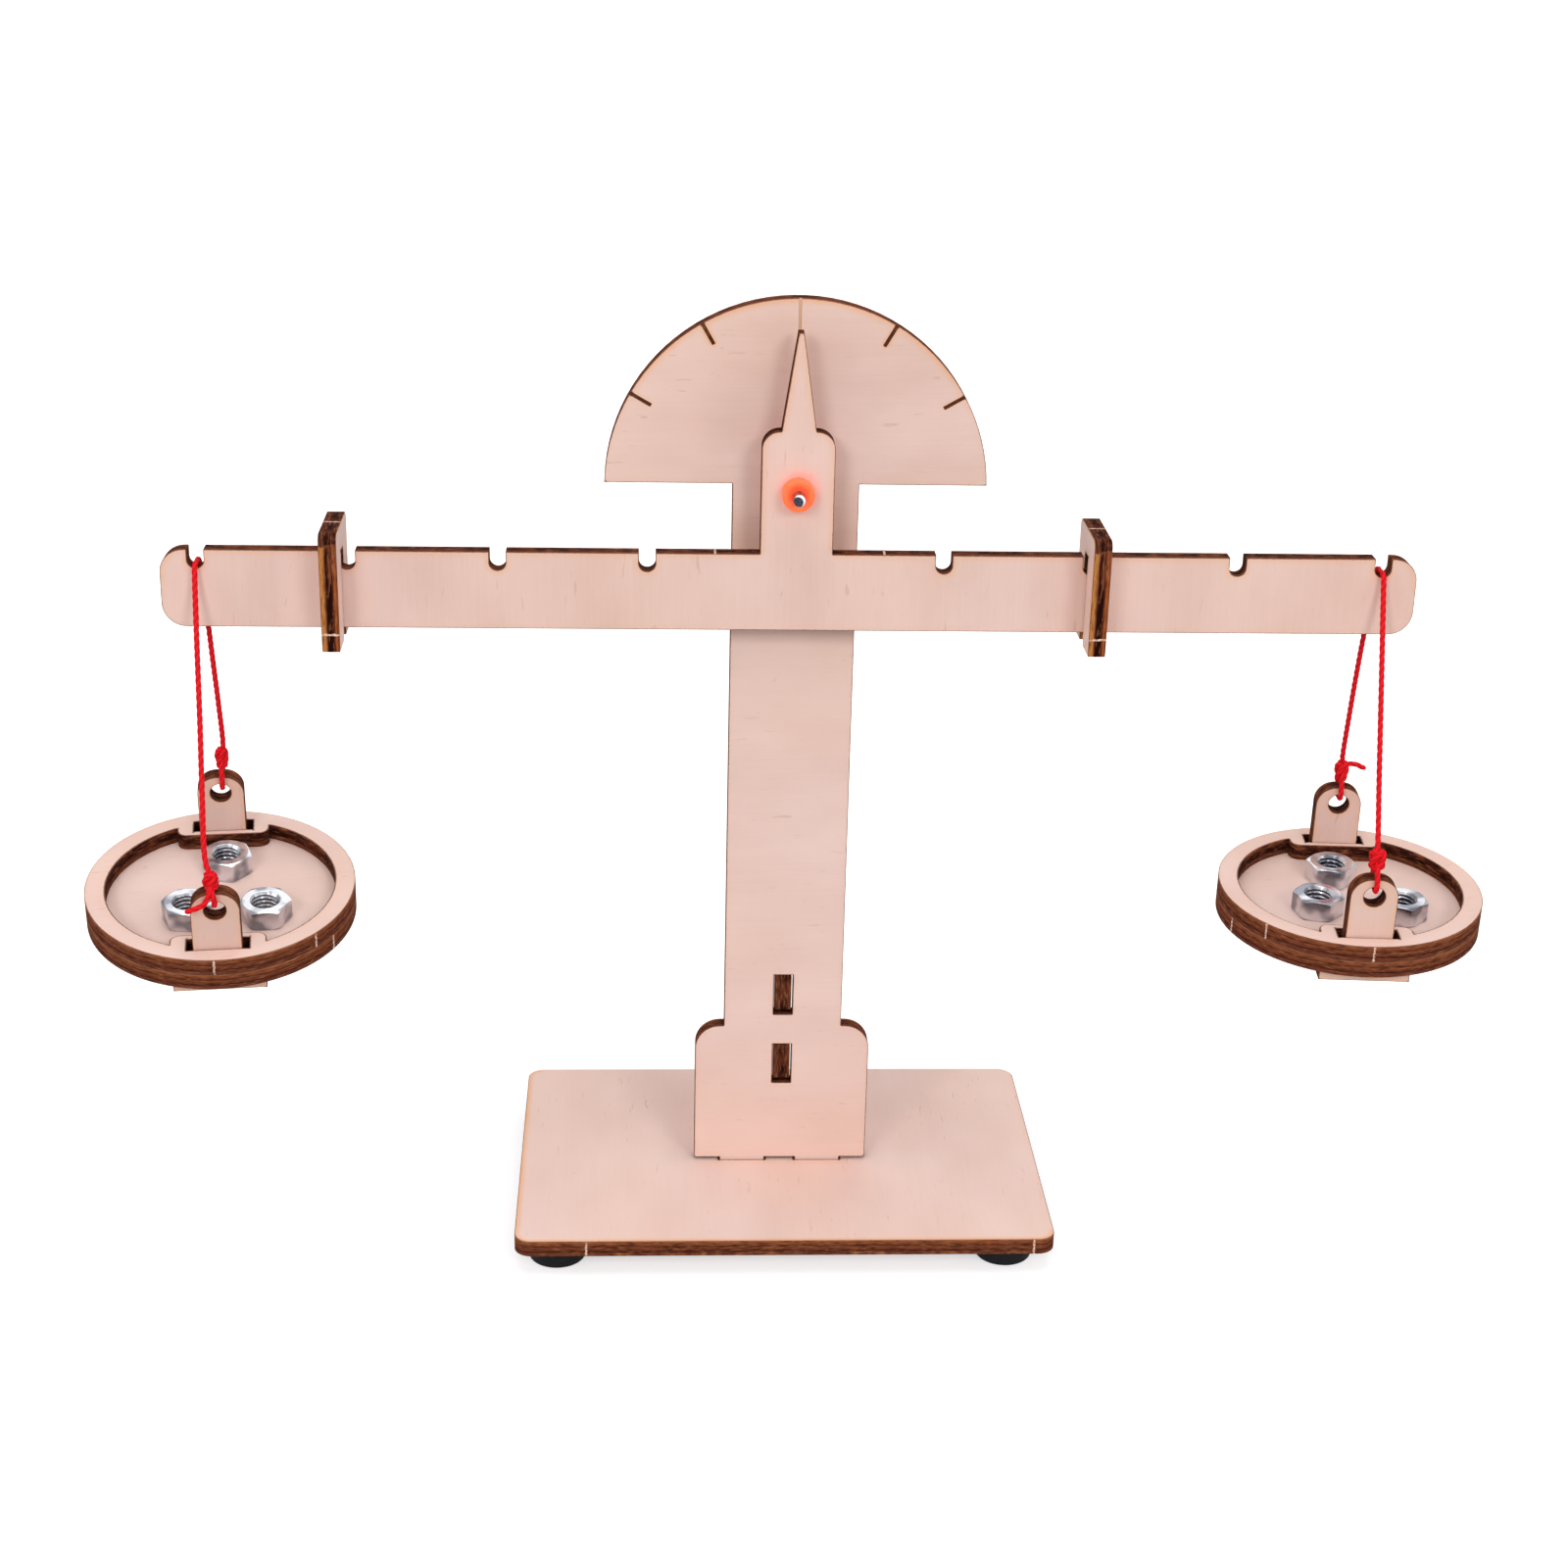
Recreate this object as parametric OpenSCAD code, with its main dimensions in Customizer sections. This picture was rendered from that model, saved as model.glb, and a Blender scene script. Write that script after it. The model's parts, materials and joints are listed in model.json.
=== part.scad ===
// A toy beam balance, cut from thin plywood: a stand with a half-round dial, a notched beam with
// a pointer, two sliding riders, and two pans hung on cords with three steel nuts in each.
// The origin is the middle of the base plate's outline, on the surface that the stand rests on.
// +X runs along the beam to the right, +Y runs from the front to the back, and +Z is up.

/* [Sheet] */
// Thickness of the plywood that every wooden piece is cut from
ply_t = 3; // [2.4:0.1:4]
// Room left on each side of a tab in its slot
slot_play = 0.1; // [0.05:0.05:0.3]

/* [Base and feet] */
// Width of the base plate
base_w = 96; // [80:0.5:130]
// Depth of the base plate
base_d = 64.5; // [60:0.5:90]
// Radius of the base plate's corners
base_r = 3; // [1:0.5:8]
// Diameter of a rubber foot where it meets the plate
foot_d = 10.5; // [8:0.5:13]
// Diameter of the flat that a foot stands on
foot_flat_d = 7; // [4:0.5:7.5]
// Height of a foot
foot_h = 4; // [3:0.25:6]
// Distance from the plate's left edge to the middles of the left feet
left_foot_inset = 7.4; // [7:0.1:12]
// Distance from the plate's right edge to the middles of the right feet
right_foot_inset = 8.4; // [7:0.1:12]
// Distance from the plate's front and back edges to the feet's middles
foot_setback = 7.4; // [7:0.1:12]

/* [Column and dial] */
// Height of the beam's axle above the top of the base plate
pivot_h = 130; // [126:0.5:150]
// Width of the column
column_w = 21.4; // [16:0.2:26]
// Distance that the column's middle stands in front of the plate's middle
column_forward = 2; // [0:0.25:5]
// Width of the column's wide foot
shoulder_w = 31.8; // [29:0.2:40]
// Height of the column's wide foot
shoulder_h = 27.8; // [25:0.1:34]
// Radius of the wide foot's upper corners
shoulder_r = 4.5; // [1:0.25:5]
// Gap under the column's shoulders
shoulder_lift = 0.5; // [0.2:0.1:0.9]
// Width of each tab under the column
tab_w = 8.3; // [6:0.1:10]
// Distance between the middles of the column's two tabs
tab_pitch = 14; // [12:0.5:18]
// Radius of the dial
dial_r = 32.3; // [28:0.1:38]
// Distance from the axle down to the middle of the dial's arc
dial_below = 1.1; // [0:0.1:1.6]
// Height of the dial's straight lower edge above that middle
dial_cut = 0.9; // [0:0.1:1.5]
// Length of a mark at the dial's rim
mark_len = 4; // [2:0.25:4.5]
// Length of the mark in the middle, which reaches down to the pointer
mid_mark_len = 5.6; // [4:0.2:8]
// Width of a mark
mark_w = 0.5; // [0.4:0.1:1.2]
// Depth of a mark
mark_deep = 0.2; // [0.1:0.05:0.5]
// Angle from one mark to the next
mark_step = 30; // [15:1:40]

/* [Brace] */
// Width of the column's windows
window_w = 3.5; // [3.3:0.1:5]
// Height of the column's windows
window_h = 8; // [6:0.25:9]
// Height of the lower window's sill above the plate
window_sill = 16.1; // [12:0.1:17]
// Distance from one window's sill to the next one's
window_pitch = 14; // [11:0.1:16]
// Gap between a brace tab and its window's sill
window_gap = 0.8; // [0.2:0.1:1.2]
// Distance that a brace tab's end lies behind the column's front
tab_short = 0.5; // [0.1:0.1:1]
// Depth of the brace along the plate
brace_reach = 26; // [20:0.5:29]
// Height of the brace
brace_h = 42; // [40:0.5:50]
// Width of the brace at its top
brace_nose = 8; // [5:0.5:12]
// Height of the brace at its back end
brace_heel = 6; // [3:0.5:10]
// Width of the tab under the brace
brace_tab_w = 8; // [5:0.5:12]

/* [Beam] */
// Length of the beam
beam_len = 212; // [208:1:230]
// Height of the beam
beam_h = 13.4; // [11:0.2:18]
// Radius of the beam's end corners
beam_r = 4; // [1:0.25:4.4]
// Distance from the axle down to the beam's top edge
beam_drop = 10.7; // [9:0.1:13]
// Width of the neck that rises to the axle
neck_w = 12.2; // [9:0.2:16]
// Height of the neck above the axle
neck_rise = 10.3; // [7:0.1:13]
// Radius of the neck's upper corners
neck_r = 3; // [1:0.25:3.2]
// Width of the pointer at its root
pointer_w = 5.8; // [3:0.1:6]
// Width of the pointer at its tip
pointer_tip_w = 0.9; // [0.5:0.1:1.5]
// Height of the pointer's tip above the axle
pointer_rise = 26.7; // [20:0.1:27.5]
// Width of a notch in the beam's top edge
notch_w = 2.8; // [2.4:0.1:3.6]
// Depth of a notch
notch_deep = 3.2; // [2.5:0.1:4.5]
// Distance from one notch to the next, counted from the axle
notch_pitch = 25; // [24:0.5:25.5]
// Notches on each arm
notch_count = 4; // [3:1:4]

/* [Axle] */
// Diameter of the steel axle
axle_d = 2; // [1.5:0.1:3]
// Length of the axle
axle_len = 20; // [18:0.5:26]
// Length of axle that stands out of the front stop
axle_tip = 2.8; // [1:0.1:4]
// Outer diameter of the soft stops on the axle
stop_d = 5.4; // [4:0.1:7]
// Length of the front and the rear stop
stop_len = 2.6; // [2:0.1:4]
// Length of the stop that keeps the beam off the dial
spacer_len = 3; // [2:0.1:5]
// Room for the beam to turn on the axle, on the radius
turn_play = 0.05; // [0.02:0.01:0.1]
// Room beside the beam along the axle, at each face
side_play = 0.1; // [0.05:0.05:0.3]

/* [Riders] */
// Depth of a rider, from its front to its back edge
rider_d = 15.4; // [11:0.2:17]
// Height of a rider
rider_h = 20.2; // [18:0.2:26]
// Height of a rider's head above the beam
rider_head = 4.5; // [3:0.1:7]
// Radius of a rider's upper corners
rider_r = 1.5; // [0.5:0.25:3]
// Room between a rider's slot and each face of the beam
rider_play = 0.15; // [0.05:0.05:0.3]
// Room between a rider's slot and the beam's top edge
rider_rest = 0.05; // [0.02:0.01:0.1]
// Distance of the left rider from the axle
left_rider_x = 77.4; // [40:0.2:95]
// Distance of the right rider from the axle
right_rider_x = 50.8; // [40:0.2:95]

/* [Pans] */
// Diameter of a pan
pan_d = 46.5; // [42:0.5:50]
// Width of a pan's rim
pan_rim = 3.5; // [2.5:0.1:4]
// Distance from the cord in its notch down to the pan's rim
pan_drop = 58.4; // [58:0.1:60]
// Distance that both pans hang to the right of their notches, because the photographed toy leans
pan_aside = 0.7; // [0:0.1:1]
// Width of the ledges that the hangers stand in
ledge_w = 16.2; // [14:0.2:20]
// Distance from a pan's middle to the inner edge of a ledge
ledge_in = 15.4; // [13:0.1:16]
// Radius of a ledge's corners
ledge_r = 1.8; // [0.5:0.1:3]
// Distance from a pan's middle to the middle of a hanger
hanger_out = 18.4; // [17.5:0.1:19]
// Width of the slots that the hangers pass through
hanger_slot_w = 10.5; // [9:0.1:12]
// Width of a hanger
hanger_w = 8.2; // [7:0.1:8.8]
// Height of a hanger above the rim
hanger_rise = 11.1; // [10.4:0.1:13]
// Radius of a hanger's upper corners
hanger_r = 3.5; // [1:0.1:3.6]
// Diameter of the cord's hole in a hanger
eye_d = 3.7; // [2.5:0.1:4]
// Height of the cord's hole above the rim
eye_h = 7.85; // [7.4:0.05:8.4]
// Width of the bar under the pan that holds a hanger
bar_w = 15.7; // [13:0.1:18]
// Height of that bar
bar_h = 2.5; // [2:0.1:4]
// How far the left pan hangs low at its front, in degrees
left_nod_angle = 10.5; // [8:0.5:14]
// How far the left pan is turned, in degrees
left_turn_angle = 6.5; // [4:0.5:10]
// How far the right pan hangs low at its front, in degrees
right_nod_angle = 3.5; // [2:0.5:8]
// How far the right pan is turned, in degrees
right_turn_angle = -4; // [-6:0.5:2]

/* [Nuts] */
// Width of a nut across its flats
nut_af = 8; // [7:0.1:9]
// Height of a nut
nut_h = 3.7; // [3:0.1:5]
// Diameter of a nut's thread at its crests
nut_bore_d = 4.2; // [3:0.1:5]
// Size of the bevel at each mouth of a nut's thread
nut_bevel = 0.5; // [0.2:0.05:0.8]
// Height that the bevel takes off a nut's corners
nut_bevel_drop = 0.3; // [0.1:0.05:0.6]

/* [Cords] */
// Diameter of the cord
cord_d = 1; // [0.8:0.1:1.5]
// Width of a knot
knot_d = 2.8; // [2.4:0.1:3.4]
// Height of a knot
knot_h = 3.4; // [2.4:0.1:4]

/* [Hidden] */

// Smoothness of curves: large rims, small ones, and the sides of the cord and of its knots
rim_fn = 96;
small_fn = 32;
cord_sides = 8;
knot_sides = 12;

// Extra length that every cut runs past the face that it leaves by
over = 1;
// Gap under the cord where it lies in its notch
cord_gap = 0.1;

// Heights above the floor
plate_top = foot_h + ply_t;
pivot_z = plate_top + pivot_h;
dial_mid_z = pivot_z - dial_below;
beam_top_z = pivot_z - beam_drop;
cord_z = beam_top_z - notch_deep + cord_gap + cord_d / 2;
pan_z = cord_z - pan_drop;

// Depths along Y: the column, the beam in front of it, and the axle through both
column_front_y = -column_forward - ply_t / 2;
column_back_y = column_front_y + ply_t;
beam_back_y = column_front_y - spacer_len - 2 * side_play;
beam_front_y = beam_back_y - ply_t;
beam_mid_y = beam_back_y - ply_t / 2;
front_stop_y = beam_front_y - side_play;
axle_front_y = front_stop_y - stop_len - axle_tip;

// Where the pans hang, and their inner radius
hang_x = notch_pitch * notch_count;
pan_r = pan_d / 2;
pan_in_r = pan_r - pan_rim;
left_tilt = [left_nod_angle, 0, left_turn_angle];
right_tilt = [right_nod_angle, 0, right_turn_angle];

// Each nut's place in its pan as shares of the pan's inner radius, and its turn in degrees
left_back_nut_shares = [0.04, 0.43];
left_outer_nut_shares = [-0.28, -0.32];
left_inner_nut_shares = [0.39, -0.35];
right_back_nut_shares = [-0.1, 0.39];
right_inner_nut_shares = [-0.32, -0.25];
right_outer_nut_shares = [0.42, -0.3];
left_nut_turns = [-16, -11, 0];
right_nut_turns = [-15, -12, -18];

// Profile of a rubber foot: [share of the way from the flat's radius to the full one, share of height]
foot_curve_shares = [[0, 0], [0.38, 0.07], [0.7, 0.25], [0.92, 0.55], [1, 1]];

// The left cord's route, from its front knot through the front hanger, over the beam to the back
left_route = [
    [-97.4, -28.6, 74.6], [-97.2, -29.6, 73.2], [-96.9, -30.3, 72.7], [-96.7, -30.1, 71.3],
    [-96.8, -29.8, 70.7], [-96.9, -29.1, 70.6], [-97, -27.8, 70.8], [-97.2, -26.5, 71.1],
    [-97.2, -25.9, 71.5], [-97.2, -25.8, 72.1], [-97.4, -26.1, 73.4], [-97.5, -27.1, 73.7],
    [-97.4, -28.7, 75.6], [-98.2, -27.8, 78], [-98.7, -24.2, 87.5], [-99.1, -19.7, 99.3],
    [-99.6, -15.2, 111.2], [-100, -11.1, 121.6], [-100, -10.7, 123], [-100, -9.9, 123.7],
    [-100, -8.2, 123.7], [-100, -6.5, 123.7], [-100, -5.7, 123], [-100, -5.3, 121.6],
    [-99.9, -2.5, 113.2], [-99.9, 0.7, 103.4], [-99.9, 3.9, 93.6], [-100, 6.4, 85.8],
    [-100.3, 7, 83.8], [-100.5, 6.2, 81.4], [-100.4, 5.7, 79.4], [-100.5, 5.9, 78],
    [-100.5, 6.2, 77.4], [-100.6, 6.9, 77.3], [-100.8, 8.2, 77.5], [-100.9, 9.5, 77.8],
    [-101, 10.1, 78.2], [-101, 10.2, 78.8], [-100.9, 9.9, 80.2], [-100.7, 8.7, 81.9],
    [-100.5, 7.2, 82.8]
];
left_front_tail = [[-97.5, -30.2, 73.0], [-98.4, -30.7, 71.2], [-99.9, -31.2, 70.6], [-101.4, -31.4, 70.1]];
left_back_tail = [[-100.6, 7.6, 82.9], [-101.1, 8.7, 82.8], [-101.4, 9.9, 82.4]];
left_front_knot = [-97.4, -28.6, 74.6];
left_back_knot = [-100.5, 7.2, 82.8];

// The right cord's route, in the same order
right_route = [
    [99.3, -27.4, 78.5], [99.2, -28.6, 77.2], [99.2, -29.3, 75.3], [99.2, -29.3, 73.9],
    [99.2, -29.1, 73.3], [99.3, -28.4, 73.1], [99.4, -27.1, 73.2], [99.5, -25.8, 73.3],
    [99.5, -25.1, 73.6], [99.5, -24.9, 74.2], [99.5, -25.1, 75.6], [99.4, -26, 77.4],
    [99.2, -27.4, 79.5], [99.3, -26.6, 81.7], [99.4, -23.3, 90.4], [99.6, -19.1, 101.2],
    [99.8, -14.9, 112.1], [100, -11.1, 121.6], [100, -10.7, 123], [100, -9.9, 123.7],
    [100, -8.2, 123.7], [100, -6.5, 123.7], [100, -5.7, 123], [100, -5.3, 121.6],
    [100.3, -2, 112.6], [100.7, 1.8, 102.2], [101.2, 5.5, 91.7], [101.7, 8.5, 83.4],
    [102, 9.2, 81.3], [101.9, 8, 79], [101.8, 7.3, 77.6], [101.8, 7.3, 76.2],
    [101.9, 7.6, 75.6], [101.9, 8.3, 75.4], [102, 9.6, 75.4], [102.1, 10.9, 75.5],
    [102.1, 11.5, 75.8], [102.2, 11.7, 76.4], [102.1, 11.6, 77.8], [102.1, 10.6, 79.2],
    [102, 9.3, 80.3]
];
right_front_tail = [[99.3, -27.0, 78.5], [99.7, -25.9, 78.3], [99.9, -24.8, 77.7]];
right_back_tail = [
    [102.2, 9.2, 81.2], [103.1, 9.1, 81.7], [104.1, 9.0, 81.8],
    [105.2, 9.0, 81.4], [106.3, 8.9, 80.9]
];
right_front_knot = [99.3, -27.4, 78.5];
right_back_knot = [102, 9.3, 80.3];

// Flat outlines

// A rectangle from corner a to corner b, with all four corners rounded to r
module soft_rect(a, b, r) {
    translate([a.x + r, a.y]) square([b.x - a.x - 2 * r, b.y - a.y]);
    translate([a.x, a.y + r]) square([b.x - a.x, b.y - a.y - 2 * r]);
    for (x = [a.x + r, b.x - r], y = [a.y + r, b.y - r])
        translate([x, y]) circle(r = r, $fn = small_fn);
}

// A rectangle from corner a to corner b, with only its two upper corners rounded to r
module arch_rect(a, b, r) {
    translate(a) square([b.x - a.x, b.y - a.y - r]);
    translate([a.x + r, a.y]) square([b.x - a.x - 2 * r, b.y - a.y]);
    for (x = [a.x + r, b.x - r])
        translate([x, b.y - r]) circle(r = r, $fn = small_fn);
}

// A rectangle of width w, centred on x, from height y0 to y1
module bar_rect(x, w, y0, y1) {
    translate([x - w / 2, y0]) square([w, y1 - y0]);
}

// One sheet of plywood: a flat outline whose front face stands upright at depth y
module upright_sheet(y) {
    translate([0, y + ply_t, 0]) rotate([90, 0, 0]) linear_extrude(ply_t) children();
}

// One sheet of plywood whose outline is drawn in Y and Z, centred on x
module side_sheet(x) {
    translate([x - ply_t / 2, 0, 0]) rotate([90, 0, 90]) linear_extrude(ply_t) children();
}

// Stand

module base_plate() {
    slot_t = ply_t + 2 * slot_play;
    brace_mid_y = column_back_y + brace_reach / 2;
    color("bisque") translate([0, 0, foot_h]) difference() {
        linear_extrude(ply_t)
            soft_rect([-base_w / 2, -base_d / 2], [base_w / 2, base_d / 2], base_r);
        for (x = [-tab_pitch / 2, tab_pitch / 2])
            translate([x, -column_forward, ply_t / 2])
                cube([tab_w + 2 * slot_play, slot_t, ply_t + 2 * over], center = true);
        translate([0, brace_mid_y, ply_t / 2])
            cube([slot_t, brace_tab_w + 2 * slot_play, ply_t + 2 * over], center = true);
    }
}

module foot(side, end) {
    flat_r = foot_flat_d / 2;
    grow = foot_d / 2 - flat_r;
    inset = side < 0 ? left_foot_inset : right_foot_inset;
    color("dimgray")
        translate([side * (base_w / 2 - inset), end * (base_d / 2 - foot_setback), 0])
            rotate_extrude($fn = small_fn)
                polygon(concat(
                    [[0, foot_h], [0, 0]],
                    [for (s = foot_curve_shares) [flat_r + grow * s.x, foot_h * s.y]]
                ));
}

module column_outline() {
    foot_z = plate_top + shoulder_lift;
    // The strip from the wide foot up to the axle, and the half-round dial above it
    bar_rect(0, column_w, foot_z, pivot_z + dial_r / 2);
    translate([0, dial_mid_z]) intersection() {
        circle(r = dial_r, $fn = rim_fn);
        translate([-dial_r, dial_cut]) square([2 * dial_r, dial_r]);
    }
    arch_rect([-shoulder_w / 2, foot_z], [shoulder_w / 2, plate_top + shoulder_h], shoulder_r);
    for (x = [-tab_pitch / 2, tab_pitch / 2])
        bar_rect(x, tab_w, foot_h, foot_z + over);
}

module column_windows() {
    for (k = [0, 1])
        bar_rect(0, window_w, plate_top + window_sill + k * window_pitch,
            plate_top + window_sill + k * window_pitch + window_h);
}

// The dial's marks, cut into its front face
module dial_marks() {
    for (k = [-2:2]) {
        len = k == 0 ? mid_mark_len : mark_len;
        translate([0, column_front_y, dial_mid_z]) rotate([0, k * mark_step, 0])
            translate([-mark_w / 2, -over, dial_r - len])
                cube([mark_w, mark_deep + over, len + over]);
    }
}

module column_dial() {
    color("bisque") difference() {
        upright_sheet(column_front_y) difference() {
            column_outline();
            column_windows();
            translate([0, pivot_z]) circle(d = axle_d, $fn = small_fn);
        }
        dial_marks();
    }
}

module rear_brace() {
    tab_h = window_h - window_gap - slot_play;
    tab_len = ply_t - tab_short;
    color("burlywood") side_sheet(0) {
        translate([column_back_y, plate_top])
            polygon([
                [0, 0], [brace_reach, 0], [brace_reach, brace_heel],
                [brace_nose, brace_h], [0, brace_h]
            ]);
        for (k = [0, 1])
            translate([column_back_y - tab_len, plate_top + window_sill + k * window_pitch + window_gap])
                square([tab_len + over, tab_h]);
        bar_rect(column_back_y + brace_reach / 2, brace_tab_w, foot_h, plate_top + over);
    }
}

module along_axle(y, len) {
    translate([0, y + len, pivot_z]) rotate([90, 0, 0]) linear_extrude(len) children();
}

module axle() {
    color("silver") along_axle(axle_front_y, axle_len) circle(d = axle_d, $fn = small_fn);
}

module stop(y, len) {
    color("orangered") along_axle(y, len) difference() {
        circle(d = stop_d, $fn = small_fn);
        circle(d = axle_d, $fn = small_fn);
    }
}

// Beam and riders

module beam_outline() {
    top = beam_top_z;
    soft_rect([-beam_len / 2, top - beam_h], [beam_len / 2, top], beam_r);
    arch_rect([-neck_w / 2, top - beam_h / 2], [neck_w / 2, pivot_z + neck_rise], neck_r);
    translate([0, pivot_z])
        polygon([
            [-pointer_w / 2, neck_rise - neck_r], [pointer_w / 2, neck_rise - neck_r],
            [pointer_w / 2, neck_rise], [pointer_tip_w / 2, pointer_rise],
            [-pointer_tip_w / 2, pointer_rise], [-pointer_w / 2, neck_rise]
        ]);
}

module beam_notches() {
    for (side = [-1, 1], k = [1:notch_count])
        translate([side * k * notch_pitch, beam_top_z - notch_deep + notch_w / 2]) {
            circle(d = notch_w, $fn = small_fn);
            bar_rect(0, notch_w, 0, notch_deep + over);
        }
}

module beam() {
    color("bisque") upright_sheet(beam_front_y) difference() {
        beam_outline();
        beam_notches();
        translate([0, pivot_z]) circle(r = axle_d / 2 + turn_play, $fn = small_fn);
    }
}

module rider(x) {
    head_z = beam_top_z + rider_head;
    slot_w = ply_t + 2 * rider_play;
    color("burlywood") side_sheet(x) difference() {
        arch_rect([beam_mid_y - rider_d / 2, head_z - rider_h], [beam_mid_y + rider_d / 2, head_z], rider_r);
        bar_rect(beam_mid_y, slot_w, head_z - rider_h - over, beam_top_z + rider_rest);
    }
}

// Pans: every piece is drawn about the pan's middle, at the top of its rim, and then hung

module hung(side, tilt) {
    translate([side * hang_x + pan_aside, beam_mid_y, pan_z]) rotate(tilt) children();
}

module hanger_slots() {
    for (end = [-1, 1])
        translate([-hanger_slot_w / 2, end * hanger_out - ply_t / 2 - slot_play])
            square([hanger_slot_w, ply_t + 2 * slot_play]);
}

module pan_disc(side, tilt) {
    color("bisque") hung(side, tilt) translate([0, 0, -2 * ply_t]) linear_extrude(ply_t) difference() {
        circle(r = pan_r, $fn = rim_fn);
        hanger_slots();
    }
}

// The rim, with a ledge at its front and one at its back
module pan_ring(side, tilt) {
    color("bisque") hung(side, tilt) translate([0, 0, -ply_t]) linear_extrude(ply_t) difference() {
        circle(r = pan_r, $fn = rim_fn);
        difference() {
            circle(r = pan_in_r, $fn = rim_fn);
            soft_rect([-ledge_w / 2, ledge_in], [ledge_w / 2, pan_r + ledge_r], ledge_r);
            soft_rect([-ledge_w / 2, -pan_r - ledge_r], [ledge_w / 2, -ledge_in], ledge_r);
        }
        hanger_slots();
    }
}

// An upright ear with the cord's hole, and a bar that catches it under the pan
module hanger(side, tilt, end) {
    color("burlywood") hung(side, tilt) upright_sheet(end * hanger_out - ply_t / 2) difference() {
        union() {
            arch_rect([-hanger_w / 2, -2 * ply_t - bar_h / 2], [hanger_w / 2, hanger_rise], hanger_r);
            bar_rect(0, bar_w, -2 * ply_t - bar_h, -2 * ply_t);
        }
        translate([0, eye_h]) circle(d = eye_d, $fn = small_fn);
    }
}

// A hexagon nut with bevelled corners, lying on the pan
module nut(side, tilt, shares, turn) {
    corner_r = nut_af / sqrt(3);
    flat_r = nut_af / 2;
    step = nut_bevel_drop;
    bore_r = nut_bore_d / 2;
    color("lightgray") hung(side, tilt)
        translate([shares.x * pan_in_r, shares.y * pan_in_r, -ply_t]) rotate([0, 0, turn])
            difference() {
                intersection() {
                    cylinder(r = corner_r, h = nut_h, $fn = 6);
                    rotate_extrude($fn = small_fn)
                        polygon([
                            [0, 0], [flat_r, 0], [corner_r, step], [corner_r, nut_h - step],
                            [flat_r, nut_h], [0, nut_h]
                        ]);
                }
                translate([0, 0, -over]) cylinder(r = bore_r, h = nut_h + 2 * over, $fn = small_fn);
                for (z = [0, nut_h])
                    translate([0, 0, z]) rotate_extrude($fn = small_fn)
                        polygon([[0, -nut_bevel], [bore_r, -nut_bevel], [bore_r + nut_bevel, 0],
                            [bore_r, nut_bevel], [0, nut_bevel]]);
            }
}

// Cords

function unit(v) = v / norm(v);
function route_dir(p, i) = unit(p[min(i + 1, len(p) - 1)] - p[max(i - 1, 0)]);
// A side direction for each point, turned as little as possible from one point to the next
function route_sides(p, i = 0, prev = [1, 0, 0]) =
    i == len(p) ? [] :
    let (t = route_dir(p, i), n = unit(prev - (prev * t) * t))
    concat([n], route_sides(p, i + 1, n));

module tube(p, d) {
    sides = route_sides(p);
    n = cord_sides;
    rings = [
        for (i = [0:len(p) - 1]) let (u = sides[i], v = cross(route_dir(p, i), u))
        for (k = [0:n - 1]) p[i] + d / 2 * (cos(360 * k / n) * u + sin(360 * k / n) * v)
    ];
    walls = [
        for (i = [0:len(p) - 2], k = [0:n - 1]) let (a = i * n + k, b = i * n + (k + 1) % n)
        each [[a, a + n, b], [b, a + n, b + n]]
    ];
    last = (len(p) - 1) * n;
    polyhedron(rings, concat(
        walls, [[for (k = [0:n - 1]) k]], [[for (k = [n - 1:-1:0]) last + k]]
    ));
}

module cord(route, tails, knots) {
    color("red") {
        tube(route, cord_d);
        for (tail = tails) tube(tail, cord_d);
        for (knot = knots)
            translate(knot) scale([1, 1, knot_h / knot_d]) sphere(d = knot_d, $fn = knot_sides);
    }
}

module left_cord() {
    cord(left_route, [left_front_tail, left_back_tail], [left_front_knot, left_back_knot]);
}

module right_cord() {
    cord(right_route, [right_front_tail, right_back_tail], [right_front_knot, right_back_knot]);
}

base_plate();
foot(-1, -1);  // foot_front_left
foot(1, -1);  // foot_front_right
foot(-1, 1);  // foot_back_left
foot(1, 1);  // foot_back_right
column_dial();
rear_brace();
axle();
stop(front_stop_y - stop_len, stop_len);  // front_stop
stop(column_front_y - spacer_len, spacer_len);  // spacer_stop
stop(column_back_y, stop_len);  // rear_stop
beam();
rider(-left_rider_x);  // left_rider
rider(right_rider_x);  // right_rider
pan_disc(-1, left_tilt);  // left_pan_disc
pan_ring(-1, left_tilt);  // left_pan_ring
hanger(-1, left_tilt, -1);  // left_front_hanger
hanger(-1, left_tilt, 1);  // left_back_hanger
left_cord();
nut(-1, left_tilt, left_back_nut_shares, left_nut_turns[0]);  // left_back_nut
nut(-1, left_tilt, left_outer_nut_shares, left_nut_turns[1]);  // left_outer_nut
nut(-1, left_tilt, left_inner_nut_shares, left_nut_turns[2]);  // left_inner_nut
pan_disc(1, right_tilt);  // right_pan_disc
pan_ring(1, right_tilt);  // right_pan_ring
hanger(1, right_tilt, -1);  // right_front_hanger
hanger(1, right_tilt, 1);  // right_back_hanger
right_cord();
nut(1, right_tilt, right_back_nut_shares, right_nut_turns[0]);  // right_back_nut
nut(1, right_tilt, right_inner_nut_shares, right_nut_turns[1]);  // right_inner_nut
nut(1, right_tilt, right_outer_nut_shares, right_nut_turns[2]);  // right_outer_nut
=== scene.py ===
"""Dresses the wooden balance scale: scorched plywood, twisted cords, threaded nuts, soft stops."""

import json
import math

import bmesh
import bpy
import numpy as np
from mathutils import Matrix, Vector
from mathutils.geometry import delaunay_2d_cdt

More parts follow.
